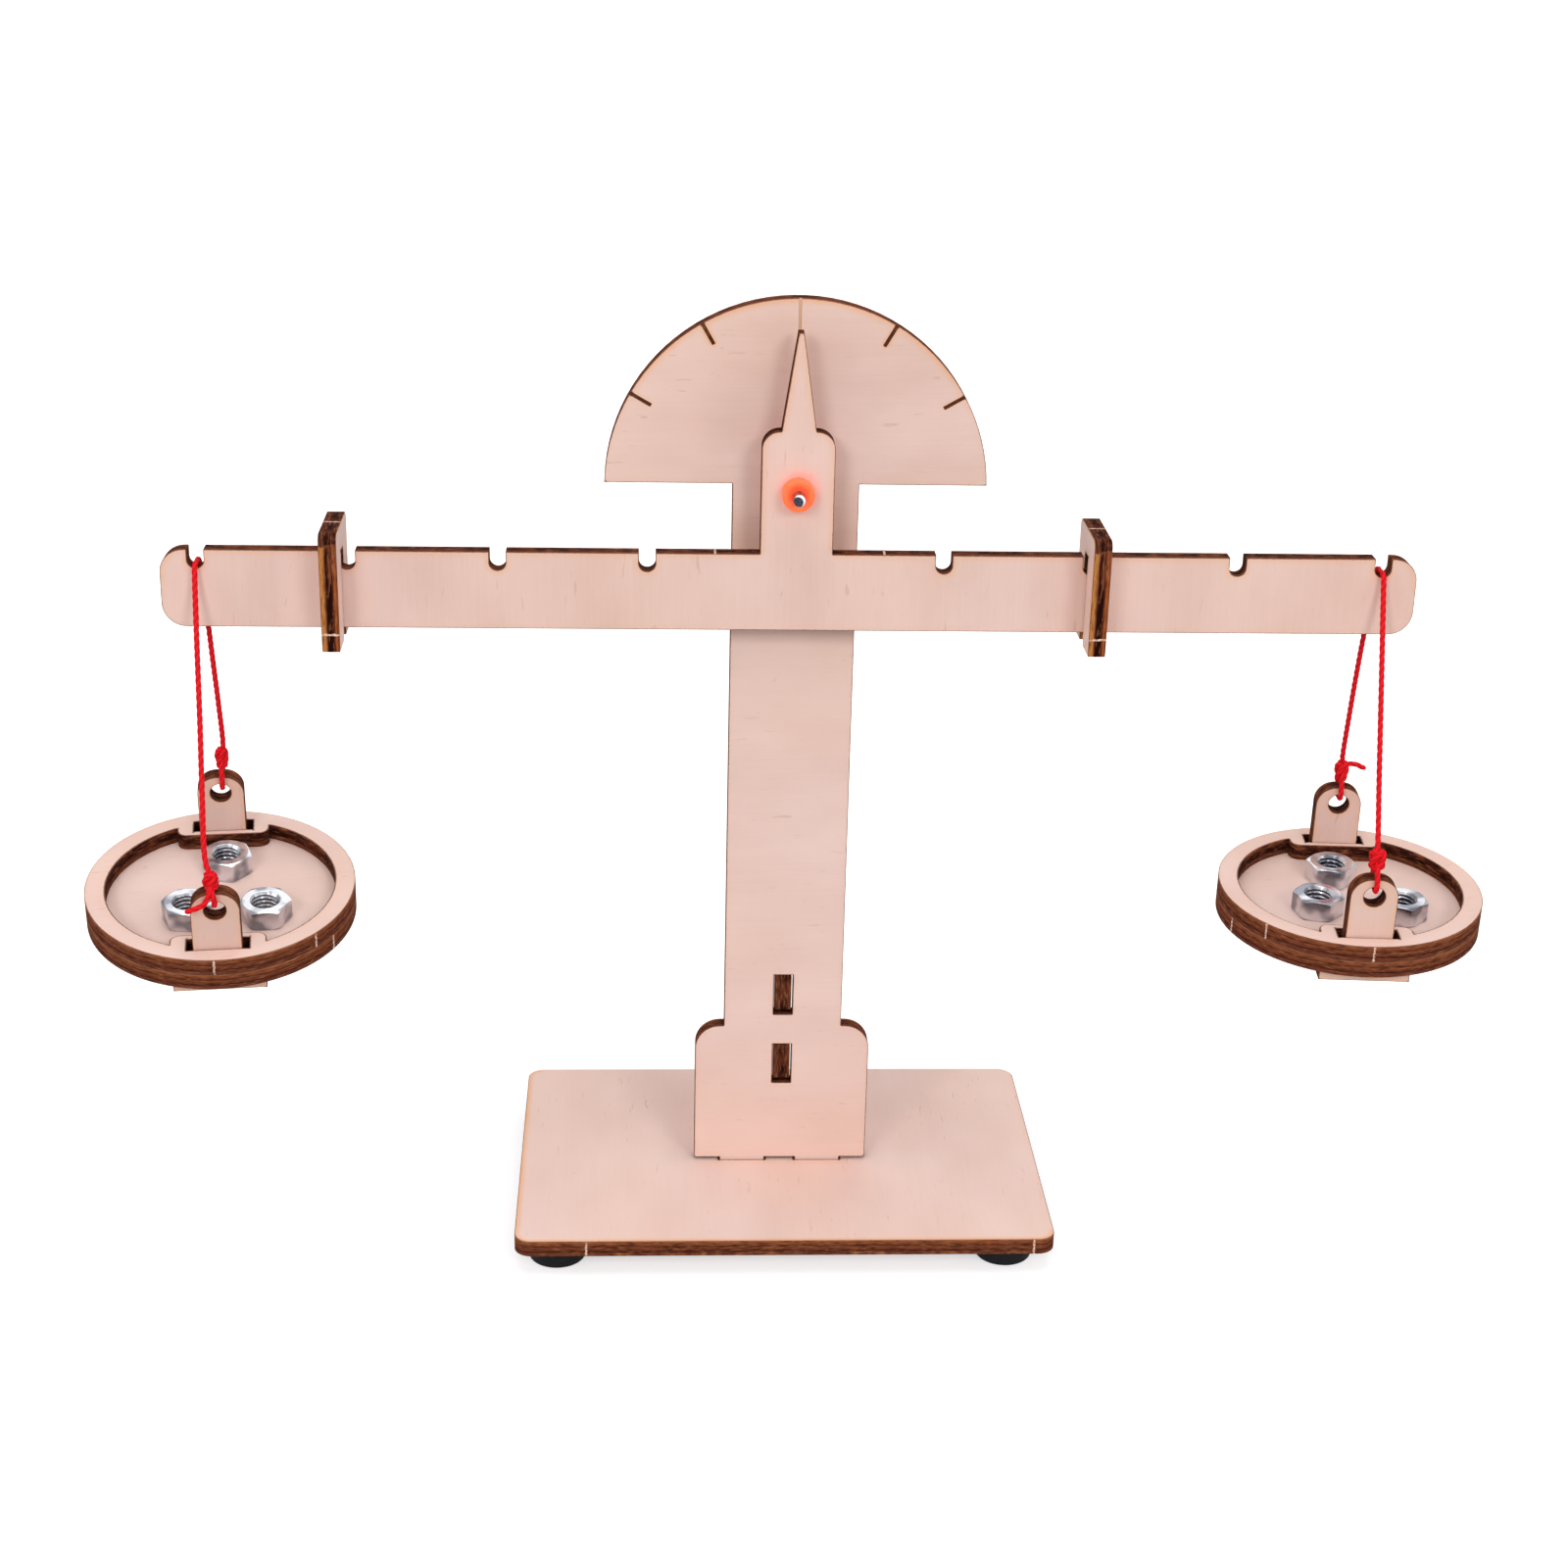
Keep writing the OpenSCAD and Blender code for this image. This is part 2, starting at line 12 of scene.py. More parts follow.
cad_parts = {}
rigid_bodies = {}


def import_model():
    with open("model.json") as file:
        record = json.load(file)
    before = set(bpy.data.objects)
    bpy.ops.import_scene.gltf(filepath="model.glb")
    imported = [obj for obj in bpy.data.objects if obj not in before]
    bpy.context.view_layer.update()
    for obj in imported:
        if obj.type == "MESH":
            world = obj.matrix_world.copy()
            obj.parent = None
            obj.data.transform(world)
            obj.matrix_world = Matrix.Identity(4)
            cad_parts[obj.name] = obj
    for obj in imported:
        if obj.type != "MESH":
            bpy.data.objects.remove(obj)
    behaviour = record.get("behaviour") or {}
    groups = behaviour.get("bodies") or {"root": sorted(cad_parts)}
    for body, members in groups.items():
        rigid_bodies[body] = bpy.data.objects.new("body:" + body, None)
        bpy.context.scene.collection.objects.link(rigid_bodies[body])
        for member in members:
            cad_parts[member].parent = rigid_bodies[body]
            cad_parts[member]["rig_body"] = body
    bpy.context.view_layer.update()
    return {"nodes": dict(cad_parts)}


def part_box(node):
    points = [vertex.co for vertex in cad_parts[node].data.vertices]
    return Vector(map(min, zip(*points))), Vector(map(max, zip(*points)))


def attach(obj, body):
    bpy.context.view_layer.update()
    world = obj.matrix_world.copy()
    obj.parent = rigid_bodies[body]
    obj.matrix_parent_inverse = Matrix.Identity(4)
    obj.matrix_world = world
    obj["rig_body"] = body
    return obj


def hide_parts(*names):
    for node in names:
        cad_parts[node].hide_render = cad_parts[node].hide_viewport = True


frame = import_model()
NODES = frame["nodes"]
MM = 0.001

# Sizes in millimetres, as in the part's source
PLY = 3
AXLE_Z = 137
AXLE_FRONT_Y = -15.2
AXLE_LENGTH = 20
AXLE_R = 1
STOP_R = 2.7
BEAM_MID_Y = -8.2
BEAM_TOP_Z = 126.3
PAN_Z = 65.3
HANG_X = 100
PAN_ASIDE = 0.7
PAN_IN_R = 19.75
PAN_R = 23.25
FOOT_H = 4
LEFT_TILT = (10.5, 0, 6.5)
RIGHT_TILT = (3.5, 0, -4)
CORD_D = 1.0
CORD_R = CORD_D / 2

# Cords: the strands wind round once in every lay
STRANDS = 3
LAY = 4.2

# Plywood meshes, in millimetres. The points along a cut stand RIM_STEP apart, with RINGS of points
# beside it and a GRID in the middle. What is less than SAME apart is one point or one level, and
# what is less than ON_RIM from a cut lies on it. The laser takes EASE off every rim.
RIM_STEP = 1.3
RINGS = (0.1, 0.25, 0.5, 0.9, 1.5)
GRID = 3.2
SAME = 0.002
ON_RIM = 0.01
EASE = 0.07
IN_VENEER, IN_CUT_EDGE, IN_TORN_WOOD = range(3)

# Engraved marks. The middle one is only singed golden. The others are burnt dark, and the distance
# from them counts MARK_CHAR times, since they scorch less beside them than a cut.
GOLDEN_HALF_WIDTH = 0.6
GOLDEN_RIM = 0.25
MARK_BURN = 1.5
MARK_CHAR = 1.6

UP, FRONT = (0, 0, 1), (0, -1, 0)
# Angles round each pan where its sheets were broken out
TORN_AT = {
    "left_ring": (-45.5, -91.5), "left_disc": (-34.5,),
    "right_ring": (-137, -89), "right_disc": (-159,),
}
# The plywood pieces made so far
SHEETS = []


# Camera

def placed(name, data):
    """A new object in the scene."""
    made = bpy.data.objects.new(name, data)
    bpy.context.collection.objects.link(made)
    return made


def make_camera():
    """Stands the camera where the photograph was taken from."""
    pitch, yaw, roll = (math.radians(a) for a in (21.643, 3.19, 1.397))
    ahead = Vector((math.sin(yaw) * math.cos(pitch), math.cos(yaw) * math.cos(pitch), -math.sin(pitch)))
    level = Vector((math.cos(yaw), -math.sin(yaw), 0))
    over = level.cross(ahead)
    right = math.cos(roll) * level + math.sin(roll) * over
    up = math.cos(roll) * over - math.sin(roll) * level
    camera = placed("camera", bpy.data.cameras.new("camera"))
    camera.data.sensor_width = 36
    camera.data.lens = 60.172
    place = Vector((-24.68, -432.023, 252.687)) * MM
    camera.matrix_world = Matrix.Translation(place) @ Matrix((right, up, -ahead)).transposed().to_4x4()
    bpy.context.scene.camera = camera


# Shader sums

def rgb(red, green, blue):
    """A colour as it is read off a screen, from 0 to 255, for a shader."""
    def level(c):
        c /= 255
        return c / 12.92 if c <= 0.04045 else ((c + 0.055) / 1.055) ** 2.4
    return (level(red), level(green), level(blue), 1)


class Value:
    """A socket in a finish. Sums on it are written as Python sums."""

    def __init__(self, finish, socket):
        self.finish, self.socket = finish, socket

    def also(self, name):
        """Another output of the same node."""
        return Value(self.finish, self.socket.node.outputs[name])

    def sum(self, operation, a, b):
        """One step of a sum, as a node."""
        return self.finish.add("ShaderNodeMath", {"operation": operation}, {0: a, 1: b})

    def or_more(self, other):
        """The larger of two values."""
        return self.sum("MAXIMUM", self, other)

    def __add__(self, other):
        return self.sum("ADD", self, other)

    def __sub__(self, other):
        return self.sum("SUBTRACT", self, other)

    def __mul__(self, other):
        return self.sum("MULTIPLY", self, other)

    def __truediv__(self, other):
        return self.sum("DIVIDE", self, other)

    def __pow__(self, other):
        return self.sum("POWER", self, other)

    def __rsub__(self, other):
        return self.sum("SUBTRACT", other, self)

    __radd__ = __add__
    __rmul__ = __mul__


class Finish:
    """One material, or the room's light, built a node at a time."""

    def __init__(self, name, kept_in=None):
        self.owner = (bpy.data.materials if kept_in is None else kept_in).new(name)
        self.owner.use_nodes = True
        self.tree = self.owner.node_tree
        self.tree.nodes.clear()

    def add(self, kind, settings=None, values=None, out=0):
        """A node of that kind: its settings first, then the values or links of its sockets."""
        node = self.tree.nodes.new(kind)
        for key, setting in (settings or {}).items():
            if key == "stops":
                ramp = node.color_ramp
                while len(ramp.elements) < len(setting):
                    ramp.elements.new(0.5)
                for stop, (at, colour) in zip(ramp.elements, setting):
                    stop.position, stop.color = at, colour
            else:
                setattr(node, key, setting)
        for key, value in (values or {}).items():
            if isinstance(value, Value):
                self.tree.links.new(value.socket, node.inputs[key])
            else:
                node.inputs[key].default_value = value
        return Value(self, node.outputs[out])

    def written(self, name, out="Fac"):
        """What the piece's own mesh says at each point under that name."""
        return self.add("ShaderNodeAttribute", {"attribute_name": name}, out=out)

    def here(self):
        """Each point's place, in metres."""
        return self.add("ShaderNodeTexCoord", out="Object")

    def split(self, vector):
        """The three parts of a vector."""
        x = self.add("ShaderNodeSeparateXYZ", None, {0: vector})
        return x, x.also("Y"), x.also("Z")

    def joined(self, x, y, z):
        """A vector of three parts."""
        return self.add("ShaderNodeCombineXYZ", None, {0: x, 1: y, 2: z})

    def length(self, vector):
        """How long a vector is."""
        return self.add("ShaderNodeVectorMath", {"operation": "LENGTH"}, {0: vector}, out="Value")

    def stretched(self, place, x, y, z):
        """A place with each of its parts multiplied."""
        return self.add("ShaderNodeVectorMath", {"operation": "MULTIPLY"}, {0: place, 1: (x, y, z)})

    def noise(self, place, detail, distortion=0.0, scale=1.0):
        """A cloudy value round 0.5."""
        return self.add("ShaderNodeTexNoise", {"noise_dimensions": "3D"},
                        {"Vector": place, "Scale": scale, "Detail": detail, "Distortion": distortion})

    def step(self, value, start, end):
        """0 before start and 1 after end, with a soft step between them."""
        return self.add("ShaderNodeMapRange", {"interpolation_type": "SMOOTHSTEP"},
                        {"Value": value, "From Min": start, "From Max": end})

    def mix(self, share, a, b):
        """Colour a, with that share of colour b."""
        return self.add("ShaderNodeMix", {"data_type": "RGBA"}, {0: share, 6: a, 7: b}, out=2)

    def ramp(self, value, stops):
        """The colour at that value, between stops that each have a value and a colour."""
        return self.add("ShaderNodeValToRGB", {"stops": stops}, {"Fac": value})

    def bump(self, height, depth):
        """A normal for a height of 0 to 1 that stands for that depth in millimetres."""
        return self.add("ShaderNodeBump", None, {"Height": height, "Distance": depth * MM, "Strength": 1.0})

    def finished(self, **sockets):
        """Closes the finish with its shader. Names are the shader's sockets, with _ for a space."""
        values = {key.replace("_", " "): value for key, value in sockets.items()}
        self.close(self.add("ShaderNodeBsdfPrincipled", None, values))
        return self.owner

    def close(self, shader, kind="ShaderNodeOutputMaterial"):
        """Links the shader to the finish's output."""
        node = self.tree.nodes.new(kind)
        self.tree.links.new(shader.socket, node.inputs["Surface"])


# Finishes

def veneer():
    """Pale veneer with sparse flecks, burnt brown by the laser along every cut."""
    f = Finish("veneer")
    place = f.written("sheet", "Vector")
    rim = f.written("rim")
    scorch, tone, glow = f.split(f.written("piece", "Vector"))
    # Each piece is cut from its own stretch of the veneer
    stretch = f.written("stretch")
    own = f.add("ShaderNodeVectorMath", {"operation": "ADD"},
                {0: place, 1: f.joined(stretch * 137, stretch * 311, 0.0)})
    cloud = f.noise(f.stretched(own, 0.035, 0.07, 0.05), 3)
    grain = f.noise(f.stretched(own, 0.05, 1.9, 0.4), 3)
    fibre = f.noise(f.stretched(own, 0.35, 7.0, 1.0), 2)
    fleck = f.step(f.noise(f.stretched(own, 0.22, 1.5, 0.4), 1, 0.6), 0.67, 0.76)
    fleck = fleck * f.step(f.noise(f.stretched(own, 0.09, 0.12, 0.1), 1), 0.42, 0.62)
    level = 0.5 + (cloud - 0.5) * 0.8 + (grain - 0.5) * 0.16 + (fibre - 0.5) * 0.08 + tone
    colour = f.ramp(level, [
        (0.0, rgb(205, 166, 150)), (0.35, rgb(223, 188, 175)), (0.55, rgb(231, 198, 187)),
        (0.8, rgb(238, 207, 197)), (1.0, rgb(243, 215, 206))])
    warm = f.step(f.noise(f.stretched(own, 0.022, 0.03, 0.02), 1), 0.42, 0.62)
    colour = f.mix(warm * 0.16, colour, rgb(240, 200, 174))
    colour = f.mix(fleck * 0.3, colour, rgb(186, 140, 116))
    # Painted light: a pink glow painted on the wood round the soft tube, standing in for the light that the
    # tube passes on
    near = f.step(f.length(f.stretched(place, 1, 1, 0)), 4.2, STOP_R)
    colour = f.mix(near * glow, colour, rgb(255, 168, 158))
    # The char is a golden halo, with a brown line on the rim itself. Round the holes of some pieces the rim
    # distance comes in shrunk, so there the line is wider and partly painted shade.
    blotch = f.noise(f.stretched(own, 0.16, 0.16, 0.3), 2)
    halo = f.step(rim, 1.5, 0.0) ** 1.3 * (0.45 + blotch * 1.1) * scorch
    colour = f.mix(halo, colour, rgb(238, 168, 106))
    wander = 0.06 + f.noise(f.stretched(own, 1.6, 1.6, 1.0), 2) * 0.1
    colour = f.mix(f.step(rim / wander, 1.7, 0.6) * 0.92, colour, rgb(98, 46, 22))
    return f.finished(
        Base_Color=colour,
        Roughness=0.52 + (grain - 0.5) * 0.25,
        Normal=f.bump(grain * 0.5 + fibre * 0.5 - fleck * 0.6, 0.02),
        Specular_IOR_Level=0.3,
    )


def cut_edge():
    """The laser's cut: golden, near black and rusty plies, all of them browner where it burnt more."""
    f = Finish("cut_edge")
    place = f.written("sheet", "Vector")
    burn = f.written("burn")
    _, _, through = f.split(place)
    wave = (f.noise(f.stretched(place, 0.25, 0.25, 0.2), 2) - 0.5) * 0.45
    ply = (through + wave) / PLY
    light = f.ramp(ply, [
        (0.0, rgb(110, 56, 26)), (0.08, rgb(196, 132, 72)), (0.24, rgb(180, 112, 58)),
        (0.34, rgb(84, 36, 18)), (0.4, rgb(34, 8, 6)), (0.66, rgb(38, 9, 7)), (0.73, rgb(96, 42, 20)),
        (0.81, rgb(158, 82, 40)), (0.93, rgb(150, 76, 38)), (1.0, rgb(84, 36, 18))])
    middling = f.ramp(ply, [
        (0.0, rgb(92, 44, 30)), (0.06, rgb(116, 64, 44)), (0.24, rgb(104, 54, 38)),
        (0.31, rgb(62, 24, 16)), (0.38, rgb(108, 54, 36)), (0.58, rgb(130, 72, 46)),
        (0.66, rgb(80, 36, 22)), (0.72, rgb(128, 70, 44)), (0.93, rgb(142, 80, 50)),
        (1.0, rgb(190, 124, 80))])
    dark = f.ramp(ply, [
        (0.0, rgb(92, 48, 30)), (0.27, rgb(102, 58, 38)), (0.37, rgb(46, 16, 10)),
        (0.62, rgb(40, 12, 9)), (0.7, rgb(60, 24, 17)), (1.0, rgb(48, 18, 13))])
    streak = f.noise(f.stretched(place, 0.6, 0.6, 4.5), 3)
    blotch = f.noise(f.stretched(place, 0.3, 0.3, 0.7), 3)
    heat = burn + (blotch - 0.5) * 1.1
    colour = f.mix(f.step(heat, 0.0, 0.4), light, middling)
    colour = f.mix(f.step(heat, 0.6, 1.0), colour, dark)
    colour = f.mix(f.step(streak, 0.5, 0.68) * 0.6, colour, rgb(30, 9, 6))
    colour = f.mix(f.step(streak, 0.46, 0.3) * 0.4, colour, rgb(180, 118, 80))
    return f.finished(
        Base_Color=colour,
        Roughness=0.8 + streak * 0.2,
        Normal=f.bump(streak, 0.08),
        Specular_IOR_Level=0.05,
    )


def torn_wood():
    """Pale splinters where a piece was held in its sheet and broken out."""
    f = Finish("torn_wood")
    fibre = f.noise(f.here(), 2, scale=2500)
    return f.finished(
        Base_Color=f.mix(f.step(fibre, 0.3, 0.7), rgb(168, 112, 84), rgb(246, 216, 196)),
        Roughness=0.8,
        Normal=f.bump(fibre, 0.05),
    )


def red_yarn():
    """Red twisted yarn, with painted shade in the grooves between its strands."""
    f = Finish("red_yarn")
    place = f.written("lay", "Vector")
    groove = f.written("groove")
    fibre = f.noise(f.stretched(place, 9.0, 2.2, 1.0), 3)
    # Painted shade: the grooves between the strands are darker
    colour = f.mix(f.step(groove, 0.6, 0.05), rgb(236, 12, 28), rgb(136, 0, 12))
    colour = f.mix(f.step(fibre, 0.5, 0.78) * 0.3, colour, rgb(246, 52, 54))
    return f.finished(
        Base_Color=colour,
        Roughness=0.75 + (fibre - 0.5) * 0.2,
        Normal=f.bump(fibre, 0.05),
        Specular_IOR_Level=0.2,
    )


def zinc():
    """Zinc plating, dull down in the thread, with painted shade in the thread's grooves."""
    f = Finish("zinc")
    place = f.here()
    mottle = f.noise(place, 1, scale=300)
    rub = f.noise(place, 3, scale=2600)
    thread = f.written("thread")
    plate = f.ramp(mottle, [(0.38, rgb(142, 144, 154)), (0.56, rgb(222, 223, 230))])
    return f.finished(
        # Painted shade: the deeper a point lies in the thread's groove, the darker its colour
        Base_Color=f.mix(thread, plate, rgb(52, 48, 58)),
        Metallic=1.0,
        Roughness=0.13 + mottle * 0.12 + (rub - 0.5) * 0.08 + thread * 0.15,
        Normal=f.bump(mottle * 0.5 + rub * 0.5, 0.014),
    )


def across_axle(f, x_off, z_off):
    """How far each point lies from a line along the axle, that far beside and above its middle."""
    x, _, z = f.split(f.here())
    return f.length(f.joined(x - x_off * MM, 0.0, z - (AXLE_Z + z_off) * MM))


def steel_wire():
    """Drawn wire with a dull cut end and a painted highlight on one side of it."""
    f = Finish("steel_wire")
    place = f.here()
    drawn = f.noise(f.stretched(place, 2600, 160, 2600), 2)
    _, y, _ = f.split(place)
    end = f.step(y, (AXLE_FRONT_Y + 0.5) * MM, (AXLE_FRONT_Y + 0.3) * MM)
    # Painted highlight: a bright crescent on one side of the cut end, standing in for a lamp's glint on its
    # rim
    painted_highlight = f.step(across_axle(f, -0.32, -0.2), 0.86 * MM, 1.02 * MM)
    face = f.mix(painted_highlight, f.ramp(drawn, [(0.3, rgb(22, 24, 38)), (0.7, rgb(64, 74, 96))]), rgb(244, 246, 250))
    wire = f.ramp(drawn, [(0.3, rgb(120, 122, 128)), (0.7, rgb(190, 192, 198))])
    return f.finished(
        Base_Color=f.mix(end, wire, face),
        Metallic=1.0 - end * 0.9,
        Roughness=0.28 + (drawn - 0.5) * 0.2,
        Normal=f.bump(drawn, 0.02),
    )


def soft_tube():
    """Soft orange tube that passes the light on, redder round the axle, with a painted glow of its own
    colour.
    """
    f = Finish("soft_tube")
    cloud = f.noise(f.here(), 2, scale=700)
    outward = f.step(across_axle(f, 0.0, 0.2), 1.1 * MM, 2.3 * MM)
    colour = f.mix(outward, rgb(255, 62, 30), rgb(255, 112, 62))
    colour = f.mix(cloud * 0.25, colour, rgb(255, 146, 96))
    return f.finished(
        Base_Color=colour,
        # Painted light: the emission makes the tube glow with its own colour, though it is no lamp
        Emission_Color=colour,
        Emission_Strength=0.3,
        Roughness=0.45 + (cloud - 0.5) * 0.15,
        Normal=f.bump(cloud, 0.04),
        Specular_IOR_Level=0.3,
        Subsurface_Weight=0.35,
        Subsurface_Radius=(1.0, 0.35, 0.2),
        Subsurface_Scale=0.0015,
    )


def black_rubber():
    """Matt rubber with a little dust on it."""
    f = Finish("black_rubber")
    dust = f.noise(f.here(), 3, scale=900)
    return f.finished(
        Base_Color=f.ramp(dust, [(0.35, rgb(7, 8, 12)), (0.75, rgb(20, 21, 26))]),
        Roughness=0.5 + dust * 0.25,
        Normal=f.bump(dust, 0.05),
        Specular_IOR_Level=0.25,
    )


# Meshes

def piece_from(name, points, faces, materials, slots=None, values=None, smooth_angle=30):
    """A new object. Points are in millimetres, and values go on the points under their names."""
    mesh = bpy.data.meshes.new(name)
    mesh.from_pydata([tuple(p) for p in np.asarray(points) * MM], [], faces)
    for material in materials:
        mesh.materials.append(material)
    if slots is not None:
        mesh.polygons.foreach_set("material_index", slots)
    for key, value in (values or {}).items():
        value = np.asarray(value, np.float32)
        kind, field = ("FLOAT_VECTOR", "vector") if value.ndim == 2 else ("FLOAT", "value")
        mesh.attributes.new(key, kind, "POINT").data.foreach_set(field, value.ravel())
    mesh.polygons.foreach_set("use_smooth", [True] * len(mesh.polygons))
    mesh.set_sharp_from_angle(angle=math.radians(smooth_angle))
    mesh.update()
    return placed(name, mesh)


def stands_for(made, node):
    """The piece takes the CAD node's place, on its body."""
    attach(made, NODES[node]["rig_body"])
    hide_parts(node)
    return made


def box_mm(node):
    """The two corners of a CAD node's box, in millimetres."""
    return [np.array(corner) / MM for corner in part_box(node)]


def run_along(path):
    """How far along the path each of its points lies."""
    return np.concatenate([[0], np.cumsum(np.linalg.norm(np.diff(path, axis=0), axis=1))])


def smooth_path(points, step):
    """A smooth curve through the points, with a point at every step along it."""
    points = np.asarray(points, float)
    ends = np.vstack([2 * points[0] - points[1], points, 2 * points[-1] - points[-2]])
    fine = []
    for a, b, c, d in zip(ends, ends[1:], ends[2:], ends[3:]):
        t1, t2, t3 = np.cumsum([math.sqrt(math.dist(p, q)) for p, q in ((a, b), (b, c), (c, d))])
        for t in np.linspace(t1, t2, 24, endpoint=False):
            ab = a + (b - a) * t / t1
            bc = b + (c - b) * (t - t1) / (t2 - t1)
            cd = c + (d - c) * (t - t2) / (t3 - t2)
            abc, bcd = ab + (bc - ab) * t / t2, bc + (cd - bc) * (t - t1) / (t3 - t1)
            fine.append(abc + (bcd - abc) * (t - t1) / (t2 - t1))
    fine = np.array(fine + [points[-1]])
    run = run_along(fine)
    at = np.linspace(0, run[-1], int(run[-1] / step) + 1)
    return np.column_stack([np.interp(at, run, fine[:, k]) for k in range(3)])


def swept(path, depth, sides):
    """Points, faces and yarn values of a laid cord, with grooves of that share between its strands."""
    way = np.gradient(path, axis=0)
    way /= np.linalg.norm(way, axis=1)[:, None]
    side = np.cross(way[0], (0.3, 0.9, 0.1))
    run = run_along(path)
    angles = np.arange(sides) * 2 * math.pi / sides
    points, groove, place = [], [], []
    for i, p in enumerate(path):
        side = side - way[i] * (side @ way[i])
        side /= np.linalg.norm(side)
        up = np.cross(way[i], side)
        turn = 2 * math.pi * run[i] / LAY
        swell = np.abs(np.cos(STRANDS / 2 * (angles - turn)))
        r = CORD_R * (1 - depth + depth * swell)
        # Both ends are rounded off
        end = min(i, len(path) - 1 - i)
        r *= 1 if end > 1 else (0.55, 0.9)[end]
        points += [p + k * (math.cos(a) * side + math.sin(a) * up) for k, a in zip(r, angles)]
        groove += list(swell)
        place += [(a * CORD_R + run[i] * 1.4, run[i], 0) for a in angles]
    rows = [range(i * sides, (i + 1) * sides) for i in range(len(path))]
    faces = [(low[k], low[(k + 1) % sides], high[(k + 1) % sides], high[k])
             for low, high in zip(rows, rows[1:]) for k in range(sides)]
    faces += [tuple(rows[0])[::-1], tuple(rows[-1])]
    return points, faces, {"groove": groove, "lay": place}


def turned(profile, turns=48):
    """Points and faces of a lathed solid: profile is a list of radius and height, axis to axis."""
    points, faces, rings = [], [], []
    for r, z in profile:
        count = 1 if r == 0 else turns
        rings.append(range(len(points), len(points) + count))
        points += [(r * math.cos(2 * math.pi * k / turns), r * math.sin(2 * math.pi * k / turns), z)
                   for k in range(count)]
    for low, high in zip(rings, rings[1:]):
        for k in range(turns):
            a, b = low[k % len(low)], low[(k + 1) % len(low)]
            c, d = high[(k + 1) % len(high)], high[k % len(high)]
            faces.append(tuple(dict.fromkeys((a, b, c, d))))
    return points, faces


def rounded(points, turn_radius, pieces=5):
    """A profile with each inner corner rounded to that radius, as far as its sides allow."""
    out = [points[0]]
    for a, b, c in zip(points, points[1:], points[2:]):
        a, b, c = map(np.array, (a, b, c))
        la, lc = np.linalg.norm(a - b), np.linalg.norm(c - b)
        cut = min(turn_radius, la * 0.45, lc * 0.45)
        start, end = b + (a - b) / la * cut, b + (c - b) / lc * cut
        for t in np.linspace(0, 1, pieces):
            out.append(tuple((1 - t) ** 2 * start + 2 * t * (1 - t) * b + t * t * end))
    return out + [points[-1]]


# Plywood

def node_mesh(node):
    """A CAD node's points in millimetres, with doubled ones joined, and its triangles."""
    whole = bmesh.new()
    whole.from_mesh(NODES[node].data)
    bmesh.ops.remove_doubles(whole, verts=whole.verts, dist=0.003 * MM)
    bmesh.ops.triangulate(whole, faces=whole.faces)
    whole.verts.index_update()
    co = np.array([tuple(v.co) for v in whole.verts]) / MM
    tris = np.array([[v.index for v in face.verts] for face in whole.faces])
    whole.free()
    return co, tris


def widest_face(co, tris):
    """Each triangle's normal, and the normal of the widest flat face."""
    cross = np.cross(co[tris[:, 1]] - co[tris[:, 0]], co[tris[:, 2]] - co[tris[:, 0]])
    area = np.linalg.norm(cross, axis=1)
    normals = cross / np.maximum(area, 1e-9)[:, None]
    # Of two faces that are equally wide, the later one is taken
    widest = max(range(len(tris)), key=lambda k: area[(normals @ normals[k]) > 0.9999].sum() + 1e-6 * k)
    out = normals[widest]
    return normals, out * np.sign(out[np.abs(out).argmax()])


def loops_of(faces):
    """The outlines of a set of triangles, each as a list of point numbers."""
    edges = set()
    for a, b, c in faces:
        edges |= {(a, b), (b, c), (c, a)}
    after = {}
    for a, b, c in faces:
        after.update((p, q) for p, q in ((a, b), (b, c), (c, a)) if (q, p) not in edges)
    loops = []
    while after:
        start, here = next(iter(after.items()))
        del after[start]
        loop = [start]
        while here != start:
            loop.append(here)
            here = after.pop(here)
        loops.append(loop)
    return loops


def edges_of(loops, flat):
    """The starts and the ends of all the edges of those outlines."""
    return np.vstack([flat[loop] for loop in loops]), np.vstack([flat[np.roll(loop, -1)] for loop in loops])


def rim_distance(points, starts, ends):
    """How far each point of a flat face lies from the nearest cut."""
    best = np.full(len(points), 1e9)
    way = ends - starts
    long2 = np.maximum((way ** 2).sum(1), 1e-12)
    for part in np.array_split(np.arange(len(points)), max(1, len(points) // 2000)):
        away = points[part][:, None, :] - starts[None]
        share = np.clip((away * way[None]).sum(2) / long2, 0, 1)
        best[part] = np.sqrt((((away - share[..., None] * way[None]) ** 2).sum(2)).min(1))
    return best


def charred(points, lines):
    """The rim distance of each point, for lines that each count more or less."""
    return np.min([rim_distance(points, *ends) * share for ends, share in lines], axis=0)


def inside(points, starts, ends):
    """Which points lie within the outlines."""
    x, y = points[:, :1], points[:, 1:]
    crossing = (starts[:, 1] > y) != (ends[:, 1] > y)
    rise = np.where(ends[:, 1] == starts[:, 1], 1, ends[:, 1] - starts[:, 1])
    at = starts[:, 0] + (y - starts[:, 1]) * (ends[:, 0] - starts[:, 0]) / rise
    return ((crossing & (at > x)).sum(1) % 2) == 1


def along_edge(a, b):
    """The points of a cut from a to just before b, about RIM_STEP apart."""
    count = max(1, int(np.linalg.norm(b - a) / RIM_STEP + 0.5))
    return [a + (b - a) * k / count for k in range(count)]


